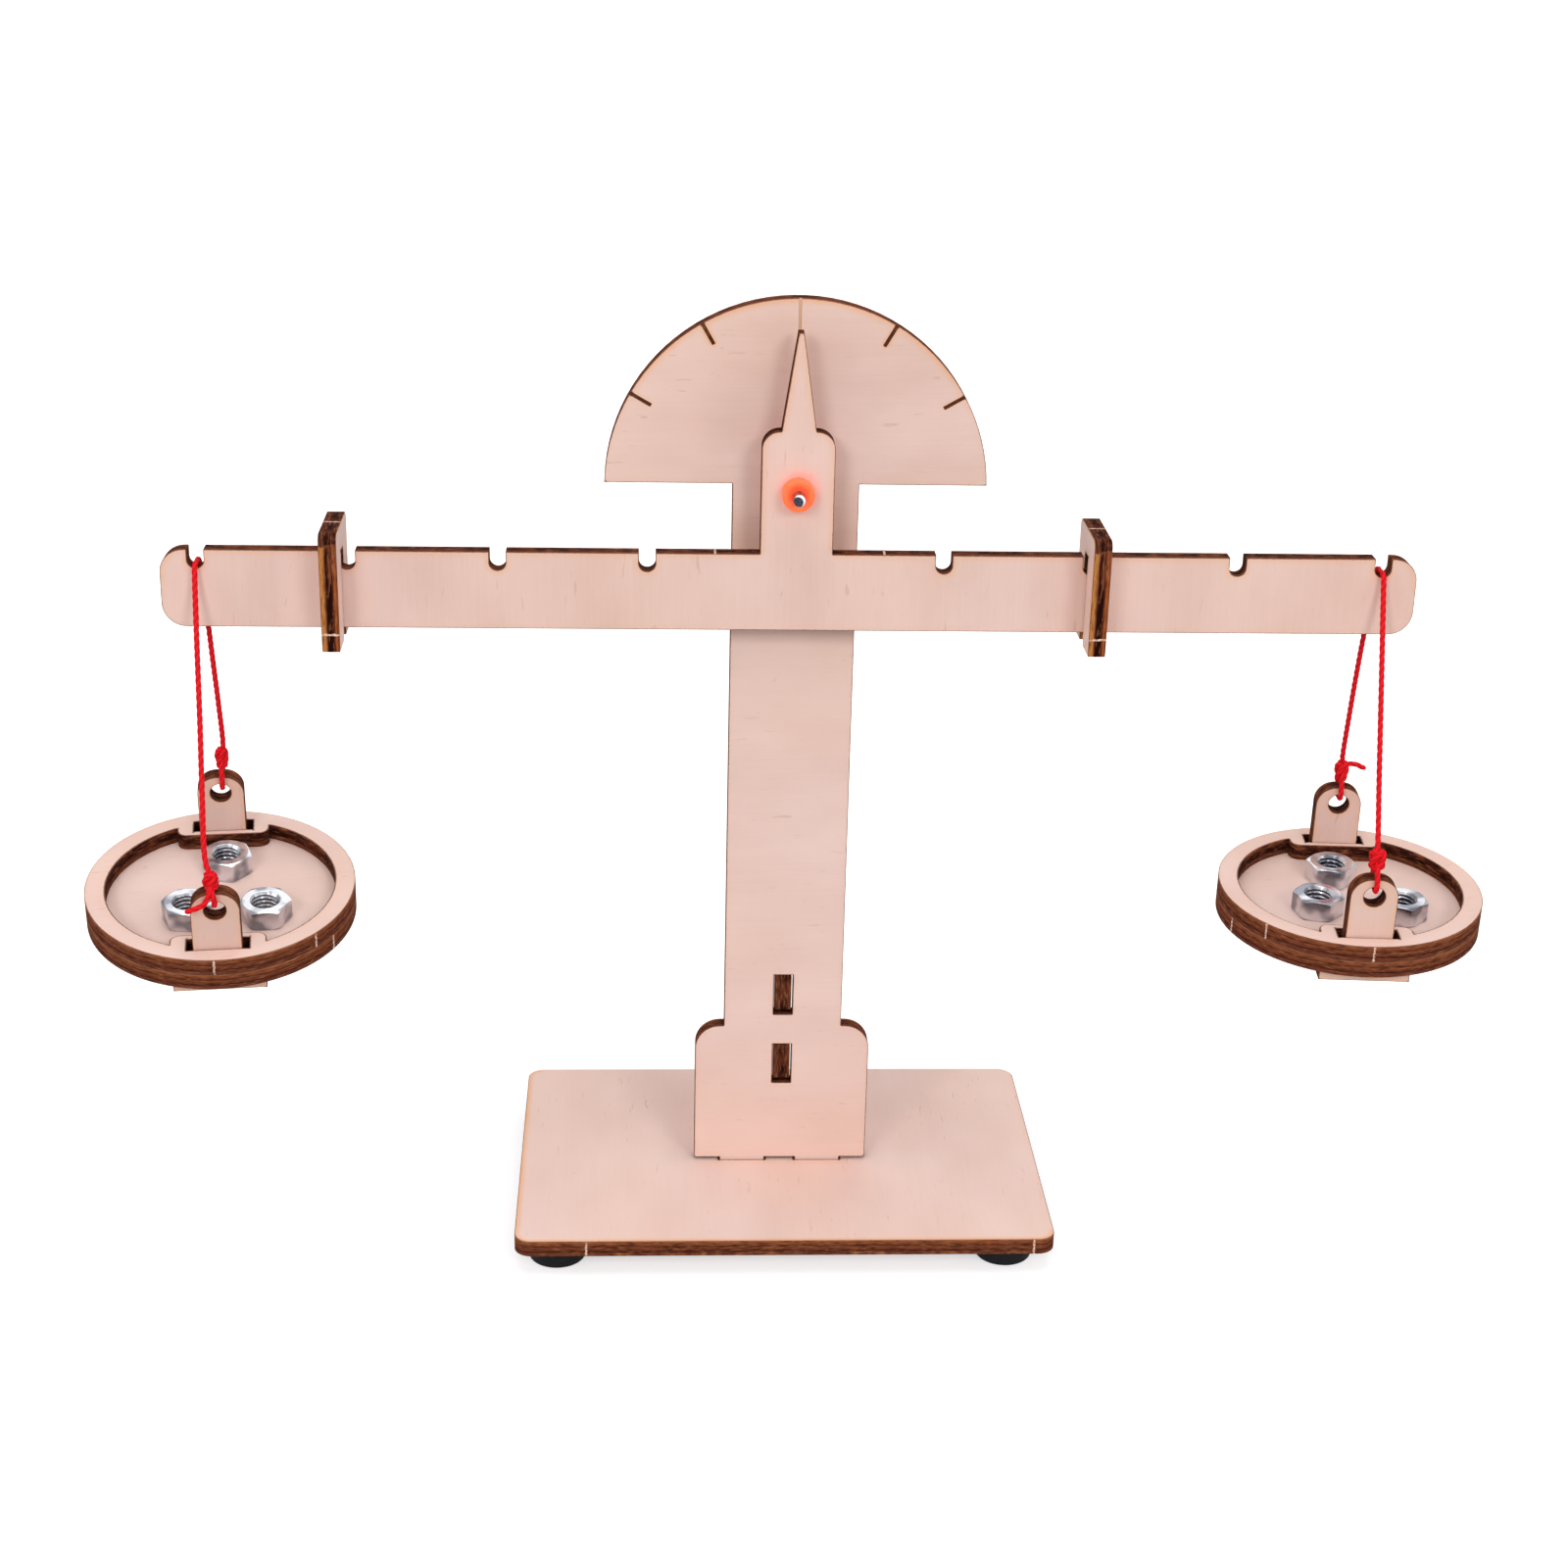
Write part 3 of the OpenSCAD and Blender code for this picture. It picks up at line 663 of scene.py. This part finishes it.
def ring_points(starts, ends, before):
    """Points over a flat face, in rings along every cut and on a grid in the middle.

    Before has the number of the edge that comes before each edge.
    """
    way = (ends - starts) / np.linalg.norm(ends - starts, axis=1)[:, None]
    middle, inward = (starts + ends) / 2, np.column_stack([-way[:, 1], way[:, 0]])
    corner = inward + inward[before]
    low, high = starts.min(0), starts.max(0)
    x, y = np.meshgrid(np.arange(low[0], high[0], GRID), np.arange(low[1], high[1], GRID))
    points = np.vstack([middle + inward * d for d in RINGS] + [starts + corner * d / 2 for d in RINGS]
                       + [np.column_stack([x.ravel(), y.ravel()])])
    # Where another cut is nearer than the ring's own distance, its points are left out
    room = np.concatenate([np.tile(np.repeat(np.array(RINGS) * 0.85, len(middle)), 2),
                           np.full(x.size, RINGS[-1] + GRID * 0.4)])
    return points[inside(points, starts, ends) & (rim_distance(points, starts, ends) >= room)]


def flat_face(outline, marks):
    """Triangles over one face of a sheet, and the cuts that scorch it.

    Marks are the edges of engraved lines, which scorch nothing beside them.
    """
    points, edges = [], []
    for loop in outline:
        first = len(points)
        for a, b in zip(loop, np.roll(loop, -1, axis=0)):
            points += along_edge(a, b)
        edges += [(k, k + 1) for k in range(first, len(points) - 1)] + [(len(points) - 1, first)]
    points, edges = np.array(points), np.array(edges)
    starts, ends = points[edges[:, 0]], points[edges[:, 1]]
    every = np.vstack([points, ring_points(starts, ends, np.argsort(edges[:, 1]))])
    spots, _, tris, came_from, *_ = delaunay_2d_cdt([Vector(p) for p in every], edges.tolist(), [], 0, 1e-6)
    spots = np.array([tuple(p) for p in spots])
    tris = np.array([t for t in tris if len(t) == 3])
    kept = inside(spots[tris].mean(1), starts, ends)
    # Beside a cut, the side of it that a triangle lies on tells more than its middle does
    now_at = {old: new for new, olds in enumerate(came_from) for old in olds}
    cut = {(now_at[a], now_at[b]) for a, b in edges.tolist()}
    for k, (a, b, c) in enumerate(tris.tolist()):
        sides = {(a, b), (b, c), (c, a)}
        if sides & cut:
            kept[k] = True
        elif {(q, p) for p, q in sides} & cut:
            kept[k] = False
    if marks is not None:
        cuts = rim_distance((starts + ends) / 2, *marks) > ON_RIM
        starts, ends = starts[cuts], ends[cuts]
    return spots, tris[kept], (starts, ends)


def fanned_walls(co, tris, height, levels):
    """The walls with a point wherever the faces have one on their rims.

    Gives the added points, the two old points that each of them lies between, and the triangles.
    """
    points, between, faces = [], [], []
    for corners in tris.tolist():
        for a, b, c in (corners, corners[1:] + corners[:1], corners[2:] + corners[:2]):
            if any(abs(height[a] - level) < SAME and abs(height[b] - level) < SAME for level in levels):
                added = along_edge(co[a], co[b])[1:]
                first = len(co) + len(points)
                row = [a, *range(first, first + len(added)), b]
                points += added
                between += [(a, b)] * len(added)
                faces += [(p, q, c) for p, q in zip(row, row[1:])]
                break
        else:
            faces.append(tuple(corners))
    return np.array(points).reshape(-1, 3), np.array(between, int).reshape(-1, 2), faces


def with_added(values, between):
    """The values, with those of the added points as the mean of the two points that each lies between."""
    return np.concatenate([values, values[between].mean(1)])


def spread(value, points):
    """A value for each point: the same for all of them, or worked out from their places."""
    return value(*points.T) if callable(value) else np.full(len(points), float(value))


def join_rims(made):
    """Joins the faces' rims to the walls, and drops points that no face needs."""
    joined = bmesh.new()
    joined.from_mesh(made.data)
    bmesh.ops.remove_doubles(joined, verts=joined.verts, dist=SAME * MM)
    bmesh.ops.delete(joined, geom=[v for v in joined.verts if not v.link_faces], context="VERTS")
    joined.to_mesh(made.data)
    joined.free()
    made.data.set_sharp_from_angle(angle=math.radians(28))


def sheet(node, grain, scorch, tone, burn, hole_burn=None, hole_char_and_shade=1.0, middle=(0, 0, 0), glow=0.0,
          ticks=()):
    """A plywood piece on a CAD node's outline, with eased rims and a rim distance at every point.

    Scorch is how golden its faces are along the cuts, tone how pale they are, and burn how dark its
    cut edges are, with hole_burn for its holes. Each is a number, or is worked out from the points'
    places. Round the holes the char is hole_char_and_shade times as wide, and there the wider dark line is
    partly painted shade where the holes meet the parts in them. Glow is how strong a pink tint is
    painted on the face round the middle, as painted light from the soft tube. Ticks are the places
    where the piece was held in its sheet, each with its way outward.
    """
    co, tris = node_mesh(node)
    normals, out = widest_face(co, tris)
    along = np.array(grain, float)
    along -= out * (along @ out)
    along /= np.linalg.norm(along)
    across = np.cross(out, along)
    height = co @ out
    low, high = height.min(), height.max()

    # Engraved marks have floors between the two faces
    middles = height[tris].mean(1)
    between_faces = (np.abs(middles - low) > SAME) & (np.abs(middles - high) > SAME)
    floors = (np.abs(normals @ out) > 0.9) & between_faces
    golden = floors.any() & (np.abs(co[:, 0]) < GOLDEN_HALF_WIDTH)
    mark_loops = loops_of(tris[floors].tolist())
    dark_loops = [loop for loop in mark_loops if not golden[loop].any()]
    burnt = spread(burn, co)
    burnt[np.unique(tris[floors])] = MARK_BURN

    points, faces, slots, rims = [], [], [], []
    walls = np.ones(len(tris), bool)
    co_rims = GOLDEN_RIM * golden
    for level, sign in ((high, 1), (low, -1)):
        at_level = np.abs(height - level) < SAME
        on_face = at_level[tris].all(1)
        walls &= ~on_face
        flat_co = np.column_stack([co @ along, co @ across * sign])
        loops = sorted(loops_of(tris[on_face].tolist()), key=len, reverse=True)
        wide = [np.ptp(flat_co[loop], axis=0).max() for loop in loops]
        holes = [loop for loop, span in zip(loops, wide) if span < max(wide)]
        if hole_burn is not None:
            for loop in holes:
                burnt[loop] = hole_burn
        marks = edges_of(mark_loops, flat_co) if mark_loops else None
        spots, flat, cuts = flat_face([flat_co[loop] for loop in loops], marks)
        lines = [(cuts, 1.0)]
        # Round the holes the char is widened, partly as painted shade where the holes meet the parts in them
        if holes and hole_char_and_shade > 1:
            lines.append((edges_of(holes, flat_co), 1 / hole_char_and_shade))
        if dark_loops:
            lines.append((edges_of(dark_loops, flat_co), MARK_CHAR))
        co_rims[at_level] = charred(flat_co[at_level], lines)
        faces += [tuple(int(k) + len(points) for k in t) for t in flat]
        points += list(spots[:, :1] * along + spots[:, 1:] * across * sign + out * level)
        slots += [IN_VENEER] * len(flat)
        rims += list(charred(spots, lines))

    # The floor of a mark that is only singed is veneer, and every other wall is a cut edge
    first = len(points)
    singed = floors & golden[tris].all(1)
    added, between, wall_faces = fanned_walls(co, tris[walls & ~singed], height, (low, high))
    singed_faces = tris[walls & singed].tolist()
    points += list(co) + list(added)
    faces += [tuple(k + first for k in t) for t in wall_faces + singed_faces]
    slots += [IN_CUT_EDGE] * len(wall_faces) + [IN_VENEER] * len(singed_faces)
    co, burnt, co_rims = np.vstack([co, added]), with_added(burnt, between), with_added(co_rims, between)
    points, rims = np.array(points), np.concatenate([rims, co_rims])
    # On the rims the faces are as burnt as the walls that they meet
    face_burnt = np.zeros(first)
    for k in np.flatnonzero(rims[:first] < ON_RIM):
        face_burnt[k] = burnt[np.linalg.norm(co - points[k], axis=1).argmin()]
    burnt = np.concatenate([face_burnt, burnt])

    # The laser eases every rim a little
    depth = points @ out
    eased = (rims < ON_RIM) & ((np.abs(depth - low) < SAME) | (np.abs(depth - high) < SAME))
    points[eased] += np.where(depth[eased] - low < high - depth[eased], EASE, -EASE)[:, None] * out

    for at, away in ticks:
        torn, torn_faces = splinter(np.array(at, float), np.array(away, float), out, low, high - low)
        faces += [tuple(k + len(points) for k in face) for face in torn_faces]
        slots += [IN_TORN_WOOD] * len(torn_faces)
        points = np.vstack([points, torn])
        rims, burnt = (np.concatenate([old, np.zeros(len(torn))]) for old in (rims, burnt))

    away = points - np.array(middle)
    place = np.column_stack([away @ along, away @ across, points @ out - low])
    looks = np.column_stack([spread(scorch, points), spread(tone, points), np.full(len(points), glow)])
    # Each piece takes its own stretch of the veneer
    SHEETS.append(node)
    made = piece_from(node + "_wood", points, faces, [VENEER, CUT_EDGE, TORN_WOOD], slots,
                      {"sheet": place, "rim": rims, "piece": looks, "burn": burnt,
                       "stretch": np.full(len(points), len(SHEETS))})
    join_rims(made)
    return stands_for(made, node)


def splinter(at, away, out, low, thick):
    """The torn stub where a piece was held in its sheet: a jagged sliver across the edge."""
    away = away - out * (away @ out)
    away /= np.linalg.norm(away)
    side = np.cross(out, away)
    count, sunk, proud = 9, -0.25, 0.05
    spine = np.linspace(0.02, 0.98, count) * thick
    left = [0.07 + 0.17 * abs(math.sin(at[0] + 2.3 * k)) for k in range(count)]
    right = [0.07 + 0.17 * abs(math.cos(at[0] * 2 + 1.7 * k)) for k in range(count)]
    middle = at - out * (at @ out)
    points = []
    for depth in (sunk, proud):
        for shift, widths in ((-1, left), (1, right)):
            points += [middle + out * (low + z) + away * depth + side * shift * w
                       for z, w in zip(spine, widths)]
    a, b, c, d = (range(k * count, (k + 1) * count) for k in range(4))
    faces = []
    for k in range(count - 1):
        faces += [(a[k], b[k], b[k + 1], a[k + 1]), (c[k], c[k + 1], d[k + 1], d[k]),
                  (a[k], a[k + 1], c[k + 1], c[k]), (b[k], d[k], d[k + 1], b[k + 1])]
    return np.array(points), faces + [(a[0], c[0], d[0], b[0]), (a[-1], b[-1], d[-1], c[-1])]


# Cords, in millimetres, along the routes of their solids. The left one is lifted a little clear of
# its front hanger, for when the pan rocks.

LEFT_ROUTE = [
    (-97.4, -28.6, 74.6), (-97.2, -29.7, 73.45), (-96.9, -30.4, 72.8), (-96.7, -30.15, 71.3),
    (-96.8, -29.87, 70.72), (-96.9, -29.1, 70.6), (-97, -27.8, 70.8), (-97.2, -26.5, 71.1),
    (-97.2, -25.8, 71.5), (-97.2, -25.7, 72.1), (-97.4, -25.9, 73.6), (-97.5, -27, 74.1),
    (-97.4, -28.7, 75.6), (-98.2, -27.8, 78), (-98.7, -24.2, 87.5), (-99.1, -19.7, 99.3),
    (-99.6, -15.2, 111.2), (-100, -11.1, 121.6), (-100, -10.7, 123), (-100, -9.9, 123.7),
    (-100, -8.2, 123.7), (-100, -6.5, 123.7), (-100, -5.7, 123), (-100, -5.3, 121.6),
    (-99.9, -2.5, 113.2), (-99.9, 0.7, 103.4), (-99.9, 3.9, 93.6), (-100, 6.4, 85.8),
    (-100.3, 7, 83.8), (-100.5, 6.2, 81.4), (-100.4, 5.7, 79.4), (-100.5, 5.9, 78),
    (-100.5, 6.2, 77.4), (-100.6, 6.9, 77.3), (-100.8, 8.2, 77.5), (-100.9, 9.5, 77.8),
    (-101, 10.1, 78.2), (-101, 10.2, 78.8), (-100.9, 9.9, 80.2), (-100.7, 8.7, 81.9),
    (-100.5, 7.2, 82.8),
]
LEFT_FRONT_TAIL = [(-97.5, -30.2, 73), (-98.4, -30.7, 71.2), (-99.9, -31.2, 70.6), (-101.4, -31.4, 70.1)]
LEFT_BACK_TAIL = [(-100.6, 7.6, 82.9), (-101.1, 8.7, 82.8), (-101.4, 9.9, 82.4)]
RIGHT_ROUTE = [
    (99.3, -27.4, 78.5), (99.2, -28.6, 77.2), (99.2, -29.3, 75.3), (99.2, -29.3, 73.9),
    (99.2, -29.1, 73.3), (99.3, -28.4, 73.1), (99.4, -27.1, 73.2), (99.5, -25.8, 73.3),
    (99.5, -25.1, 73.6), (99.5, -24.9, 74.2), (99.5, -25.1, 75.6), (99.4, -26, 77.4),
    (99.2, -27.4, 79.5), (99.3, -26.6, 81.7), (99.4, -23.3, 90.4), (99.6, -19.1, 101.2),
    (99.8, -14.9, 112.1), (100, -11.1, 121.6), (100, -10.7, 123), (100, -9.9, 123.7),
    (100, -8.2, 123.7), (100, -6.5, 123.7), (100, -5.7, 123), (100, -5.3, 121.6),
    (100.3, -2, 112.6), (100.7, 1.8, 102.2), (101.2, 5.5, 91.7), (101.7, 8.5, 83.4),
    (102, 9.2, 81.3), (101.9, 8, 79), (101.8, 7.3, 77.6), (101.8, 7.3, 76.2),
    (101.9, 7.6, 75.6), (101.9, 8.3, 75.4), (102, 9.6, 75.4), (102.1, 10.9, 75.5),
    (102.1, 11.5, 75.8), (102.2, 11.7, 76.4), (102.1, 11.6, 77.8), (102.1, 10.6, 79.2),
    (102, 9.3, 80.3),
]
RIGHT_FRONT_TAIL = [(99.3, -27, 78.5), (99.7, -25.9, 78.3), (99.9, -24.8, 77.7)]
RIGHT_BACK_TAIL = [(102.2, 9.2, 81.2), (103.1, 9.1, 81.7), (104.1, 9, 81.8), (105.2, 9, 81.4),
                   (106.3, 8.9, 80.9)]
# Each knot's middle, width, height and turn
LEFT_KNOTS = {
    "left_front_knot": ((-97.4, -28.6, 74.6), 2.9, 3.2, 0.3),
    "left_back_knot": ((-100.5, 7.2, 82.8), 2.6, 4.0, 1.4),
}
RIGHT_KNOTS = {
    "right_front_knot": ((99.3, -27.4, 78.5), 3.2, 3.7, 2.2),
    "right_back_knot": ((102, 9.3, 80.3), 2.8, 4.0, 0.9),
}


def overhand(name, body, at, wide, tall, turn):
    """A tight knot: the cord winds round its own strands, which fill the middle."""
    way = np.linspace(0, 2 * math.pi, 220)
    sway = 0.3
    out = wide / 2 - CORD_R - sway + sway * np.cos(4 * way)
    path = np.column_stack([out * np.cos(3 * way + turn), out * np.sin(3 * way + turn),
                            (tall / 2 - CORD_R) * np.sin(4 * way)])
    points, faces, values = swept(path + np.array(at), depth=0.2, sides=12)
    made = piece_from(name, points, faces, [RED_YARN], values=values, smooth_angle=60)
    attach(made, body)
    return made


def cord(node, front_tail, route, back_tail, knots):
    """One cord from tail to tail, over the beam's outer notch, with a knot above each hanger."""
    path = smooth_path(front_tail[::-1] + route + back_tail, step=0.28)
    points, faces, values = swept(path, depth=0.26, sides=15)
    made = piece_from(node + "_yarn", points, faces, [RED_YARN], values=values, smooth_angle=60)
    stands_for(made, node)
    tied = [overhand(name, node, *shape) for name, shape in knots.items()]


# Metal, rubber and soft tube

def hung(side, tilt):
    """Where a pan hangs: its middle, at the top of its rim."""
    x, y, z = (math.radians(a) for a in tilt)
    turn = Matrix.Rotation(z, 4, "Z") @ Matrix.Rotation(y, 4, "Y") @ Matrix.Rotation(x, 4, "X")
    return Matrix.Translation((side * HANG_X + PAN_ASIDE, BEAM_MID_Y, PAN_Z)) @ turn


def nut(node, side, tilt, shares, turn):
    """A zinc hexagon nut with bevelled corners and a cut thread, lying on its pan's disc.

    Shares say where it lies, to the right and to the back, as shares of the ring's inner radius.
    """
    count, high = 120, 3.7
    half_flat, corner_r, face_r, bevel = 4.0, 4.56, 3.86, 0.48
    bore, thread, rise = 2.1, 0.36, 0.8
    bore_face_r, bore_mouth_r = bore + 0.56, bore + 0.53
    angles = [2 * math.pi * k / count for k in range(count)]
    reach = [min(half_flat / math.cos(a % (math.pi / 3) - math.pi / 6), corner_r) for a in angles]
    drop = [(r - face_r) * bevel for r in reach]
    halfway = [(face_r + (r - face_r) * 0.5, d * 0.45) for r, d in zip(reach, drop)]
    below = [[(face_r - 0.9, 0)] * count, [(face_r, 0)] * count, halfway, list(zip(reach, drop))]
    above = [[(r, high - z) for r, z in row] for row in reversed(below)]
    rows = below + above + [[(bore_face_r, high)] * count]
    deep = [0.0] * len(rows) * count
    for z in np.arange(high - 0.03, 0.02, -0.075):
        row = []
        mouth = bore_mouth_r - min(z, high - z)
        for k in range(count):
            phase = (z / rise - k / count) % 1
            tooth = thread * (0.5 - 0.5 * math.cos(2 * math.pi * phase)) ** 1.3
            row.append((max(bore + tooth, mouth), z))
            # How deep each point lies in the thread's groove, which the zinc darkens as painted shade
            deep.append(tooth / thread if bore + tooth > mouth else 0.0)
        rows.append(row)
    rows.append([(bore_face_r, 0)] * count)
    deep += [0.0] * count
    place = hung(side, tilt) @ Matrix.Translation((shares[0] * PAN_IN_R, shares[1] * PAN_IN_R, -PLY)) \
        @ Matrix.Rotation(math.radians(turn), 4, "Z")
    points = [tuple(place @ Vector((r * math.cos(a), r * math.sin(a), z)))
              for row in rows for (r, z), a in zip(row, angles)]
    total = len(rows)
    faces = [(i * count + k, i * count + (k + 1) % count,
              (i + 1) % total * count + (k + 1) % count, (i + 1) % total * count + k)
             for i in range(total) for k in range(count)]
    made = piece_from(node + "_threaded", points, faces, [ZINC], values={"thread": deep}, smooth_angle=17)
    stands_for(made, node)


def along_axle(points, front):
    """Turns a lathed part to lie along the axle, with its front at that depth."""
    return [(px, front + pz, AXLE_Z + py) for px, py, pz in points]


def foot(node):
    """A round rubber foot with a rounded lower rim."""
    low, high = box_mm(node)
    x, y = (low[0] + high[0]) / 2, (low[1] + high[1]) / 2
    wide = 5.25
    profile = [(0, 0), (wide - 0.25, 0), (wide, 1.2), (wide, FOOT_H), (0, FOOT_H)]
    points, faces = turned(rounded(profile, 0.6, 7))
    made = piece_from(node + "_dome", [(px + x, py + y, pz) for px, py, pz in points], faces, [BLACK_RUBBER],
                      smooth_angle=50)
    stands_for(made, node)


def stop(node, long):
    """A slice of soft tube on the axle. Its profile starts and ends in the bore, past its rims."""
    seam = 0.05
    profile = rounded([(AXLE_R, seam), (AXLE_R, 0), (STOP_R, 0), (STOP_R, long), (AXLE_R, long),
                       (AXLE_R, long - seam)], 0.35)
    points, faces = turned(profile + [profile[0]])
    low, _ = box_mm(node)
    made = piece_from(node + "_tube", along_axle(points, low[1]), faces, [SOFT_TUBE], smooth_angle=50)
    stands_for(made, node)


def axle():
    """The steel wire that the beam turns on."""
    profile = rounded([(0, 0), (AXLE_R, 0), (AXLE_R, AXLE_LENGTH), (0, AXLE_LENGTH)], 0.22)
    points, faces = turned(profile, 40)
    made = piece_from("axle_wire", along_axle(points, AXLE_FRONT_Y), faces, [STEEL_WIRE], smooth_angle=50)
    stands_for(made, "axle")


# Floor, lamps and background

def clean_white(f):
    """How much a ray counts as one that shows the background. Metal sees it less than half lit."""
    path = f.add("ShaderNodeLightPath", out="Is Camera Ray")
    return path.or_more(path.also("Is Transmission Ray")).or_more(path.also("Is Glossy Ray") * 0.42)


def make_floor():
    """A pale floor that shows as white, apart from the object's shadow on it."""
    f = Finish("floor")
    place = f.here()
    paint = f.add("ShaderNodeBsdfDiffuse", None, {
        "Color": f.mix(f.noise(place, 2, scale=3), (0.60, 0.60, 0.60, 1), (0.62, 0.62, 0.62, 1))})
    # Under the base the floor lights itself less, which leaves the base its shadow there
    out = f.length(f.stretched(place, 1.0, 1.5, 0.0))
    own = f.mix(f.step(out, 0.055, 0.12), (0.55, 0.55, 0.56, 1), (0.85, 0.85, 0.85, 1))
    light = f.add("ShaderNodeEmission", None, {"Color": own, "Strength": clean_white(f)})
    f.close(f.add("ShaderNodeAddShader", None, {0: paint, 1: light}))
    mesh = bpy.data.meshes.new("floor")
    mesh.from_pydata([(-4, -4, 0), (4, -4, 0), (4, 4, 0), (-4, 4, 0)], [], [(0, 1, 2, 3)])
    mesh.materials.append(f.owner)
    floor = placed("floor", mesh)


def make_light():
    """A white room, with lamps in front, at both sides, above and behind."""
    f = Finish("room", bpy.data.worlds)
    strength = 0.34 + clean_white(f) * 0.66
    f.close(f.add("ShaderNodeBackground", None, {"Color": (1, 1, 1, 1), "Strength": strength}),
            "ShaderNodeOutputWorld")
    bpy.context.scene.world = f.owner
    middle = Vector((0, 0, 0.09))
    for name, azimuth, height, away, size, watts in (
            ("left_lamp", -26, 28, 1.1, 0.3, 2.95), ("right_lamp", 26, 28, 1.1, 0.3, 2.95),
            ("left_side_lamp", -72, 22, 1.1, 0.7, 1.6), ("right_side_lamp", 72, 22, 1.1, 0.7, 1.6),
            ("top_lamp", 0, 84, 1.0, 0.7, 3.5), ("back_lamp", 180, 38, 1.2, 1.0, 2.3)):
        a, e = math.radians(azimuth), math.radians(height)
        place = middle + Vector((math.sin(a) * math.cos(e), -math.cos(a) * math.cos(e), math.sin(e))) * away
        lamp = bpy.data.lights.new(name, "AREA")
        lamp.size, lamp.energy = size, watts
        made = placed(name, lamp)
        made.location = place
        made.rotation_mode = "QUATERNION"
        made.rotation_quaternion = (place - middle).to_track_quat("Z", "Y")


# Putting it together

make_camera()
RED_YARN = red_yarn()
cord("left_cord", LEFT_FRONT_TAIL, LEFT_ROUTE, LEFT_BACK_TAIL, LEFT_KNOTS)
cord("right_cord", RIGHT_FRONT_TAIL, RIGHT_ROUTE, RIGHT_BACK_TAIL, RIGHT_KNOTS)

VENEER, CUT_EDGE, TORN_WOOD = veneer(), cut_edge(), torn_wood()
ZINC, STEEL_WIRE, SOFT_TUBE, BLACK_RUBBER = zinc(), steel_wire(), soft_tube(), black_rubber()

sheet("base_plate", grain=(0, 1, 0), tone=0.16, burn=0.38, hole_burn=0.9, hole_char_and_shade=2.2,
      scorch=lambda x, y, z: 0.15 + 0.6 * ((x < -45) | (y < -29)),
      ticks=[((-35.3, -32.25, 0), FRONT), ((44.1, -32.25, 0), FRONT)])
# On the column the tone is painted shade: paler below 80 mm, darker from 120 mm up towards the dial
sheet("column_dial", grain=(1, 0, 0.03), burn=0.7, hole_burn=0.9,
      scorch=lambda x, y, z: 0.1 + 0.5 * np.clip((z - 148) / 8, 0, 1),
      tone=lambda x, y, z: 0.2 - 0.2 * np.clip((z - 80) / 40, 0, 1))
sheet("rear_brace", grain=UP, scorch=0.3, tone=-0.03, burn=0.85)
sheet("beam", grain=UP, tone=0.03, hole_burn=0.95, middle=(0.35, BEAM_MID_Y, AXLE_Z + 0.35), glow=0.42,
      scorch=lambda x, y, z: 0.1 + 0.25 * (z > BEAM_TOP_Z - 6),
      burn=lambda x, y, z: 0.85 + 0.4 * (z > AXLE_Z + 7),
      ticks=[((-13.6, 0, BEAM_TOP_Z), UP), ((14.9, 0, BEAM_TOP_Z), UP)])
for name in ("left_rider", "right_rider"):
    low, high = box_mm(name)
    sheet(name, grain=UP, scorch=0.3, tone=0.06, burn=lambda x, y, z: np.where(z > low[2] + 1, 0.9, -2.2),
          ticks=[((0, low[1], low[2] + 3), FRONT), ((0, BEAM_MID_Y, high[2]), UP)])
for hand, side, tilt in (("left", -1, LEFT_TILT), ("right", 1, RIGHT_TILT)):
    at = hung(side, tilt)
    torn = {}
    for part, mid_height in (("ring", -PLY * 0.5), ("disc", -PLY * 1.5)):
        torn[part] = []
        for a in map(math.radians, TORN_AT[hand + "_" + part]):
            rim = at @ Vector((PAN_R * math.cos(a), PAN_R * math.sin(a), mid_height))
            torn[part].append((tuple(rim), tuple(at.to_3x3() @ Vector((math.cos(a), math.sin(a), 0)))))
    sheet(hand + "_pan_disc", grain=(1, 0.2, 0), scorch=0.2, tone=0.22, burn=0.5, hole_burn=0.9,
          hole_char_and_shade=1.8, ticks=torn["disc"])
    sheet(hand + "_pan_ring", grain=(1, 0.2, 0), scorch=0.12, tone=0.14, burn=0.5, hole_burn=0.95,
          hole_char_and_shade=1.8, ticks=torn["ring"])
    front_tone, back_tone = (-0.12, -0.12) if hand == "left" else (-0.05, -0.03)
    sheet(hand + "_front_hanger", grain=UP, scorch=0.3, tone=front_tone, burn=0.8, hole_burn=0.95)
    sheet(hand + "_back_hanger", grain=UP, scorch=0.3, tone=back_tone, burn=0.8, hole_burn=0.95)

nut("left_back_nut", -1, LEFT_TILT, (0.04, 0.43), -16)
nut("left_outer_nut", -1, LEFT_TILT, (-0.28, -0.32), -11)
nut("left_inner_nut", -1, LEFT_TILT, (0.39, -0.35), 0)
nut("right_back_nut", 1, RIGHT_TILT, (-0.1, 0.39), -15)
nut("right_inner_nut", 1, RIGHT_TILT, (-0.32, -0.25), -12)
nut("right_outer_nut", 1, RIGHT_TILT, (0.42, -0.3), -18)

for where in ("front_left", "front_right", "back_left", "back_right"):
    foot("foot_" + where)
stop("front_stop", 2.6)
stop("spacer_stop", 3.0)
stop("rear_stop", 2.6)
axle()

make_floor()
make_light()
bpy.context.scene.view_settings.view_transform = "Standard"
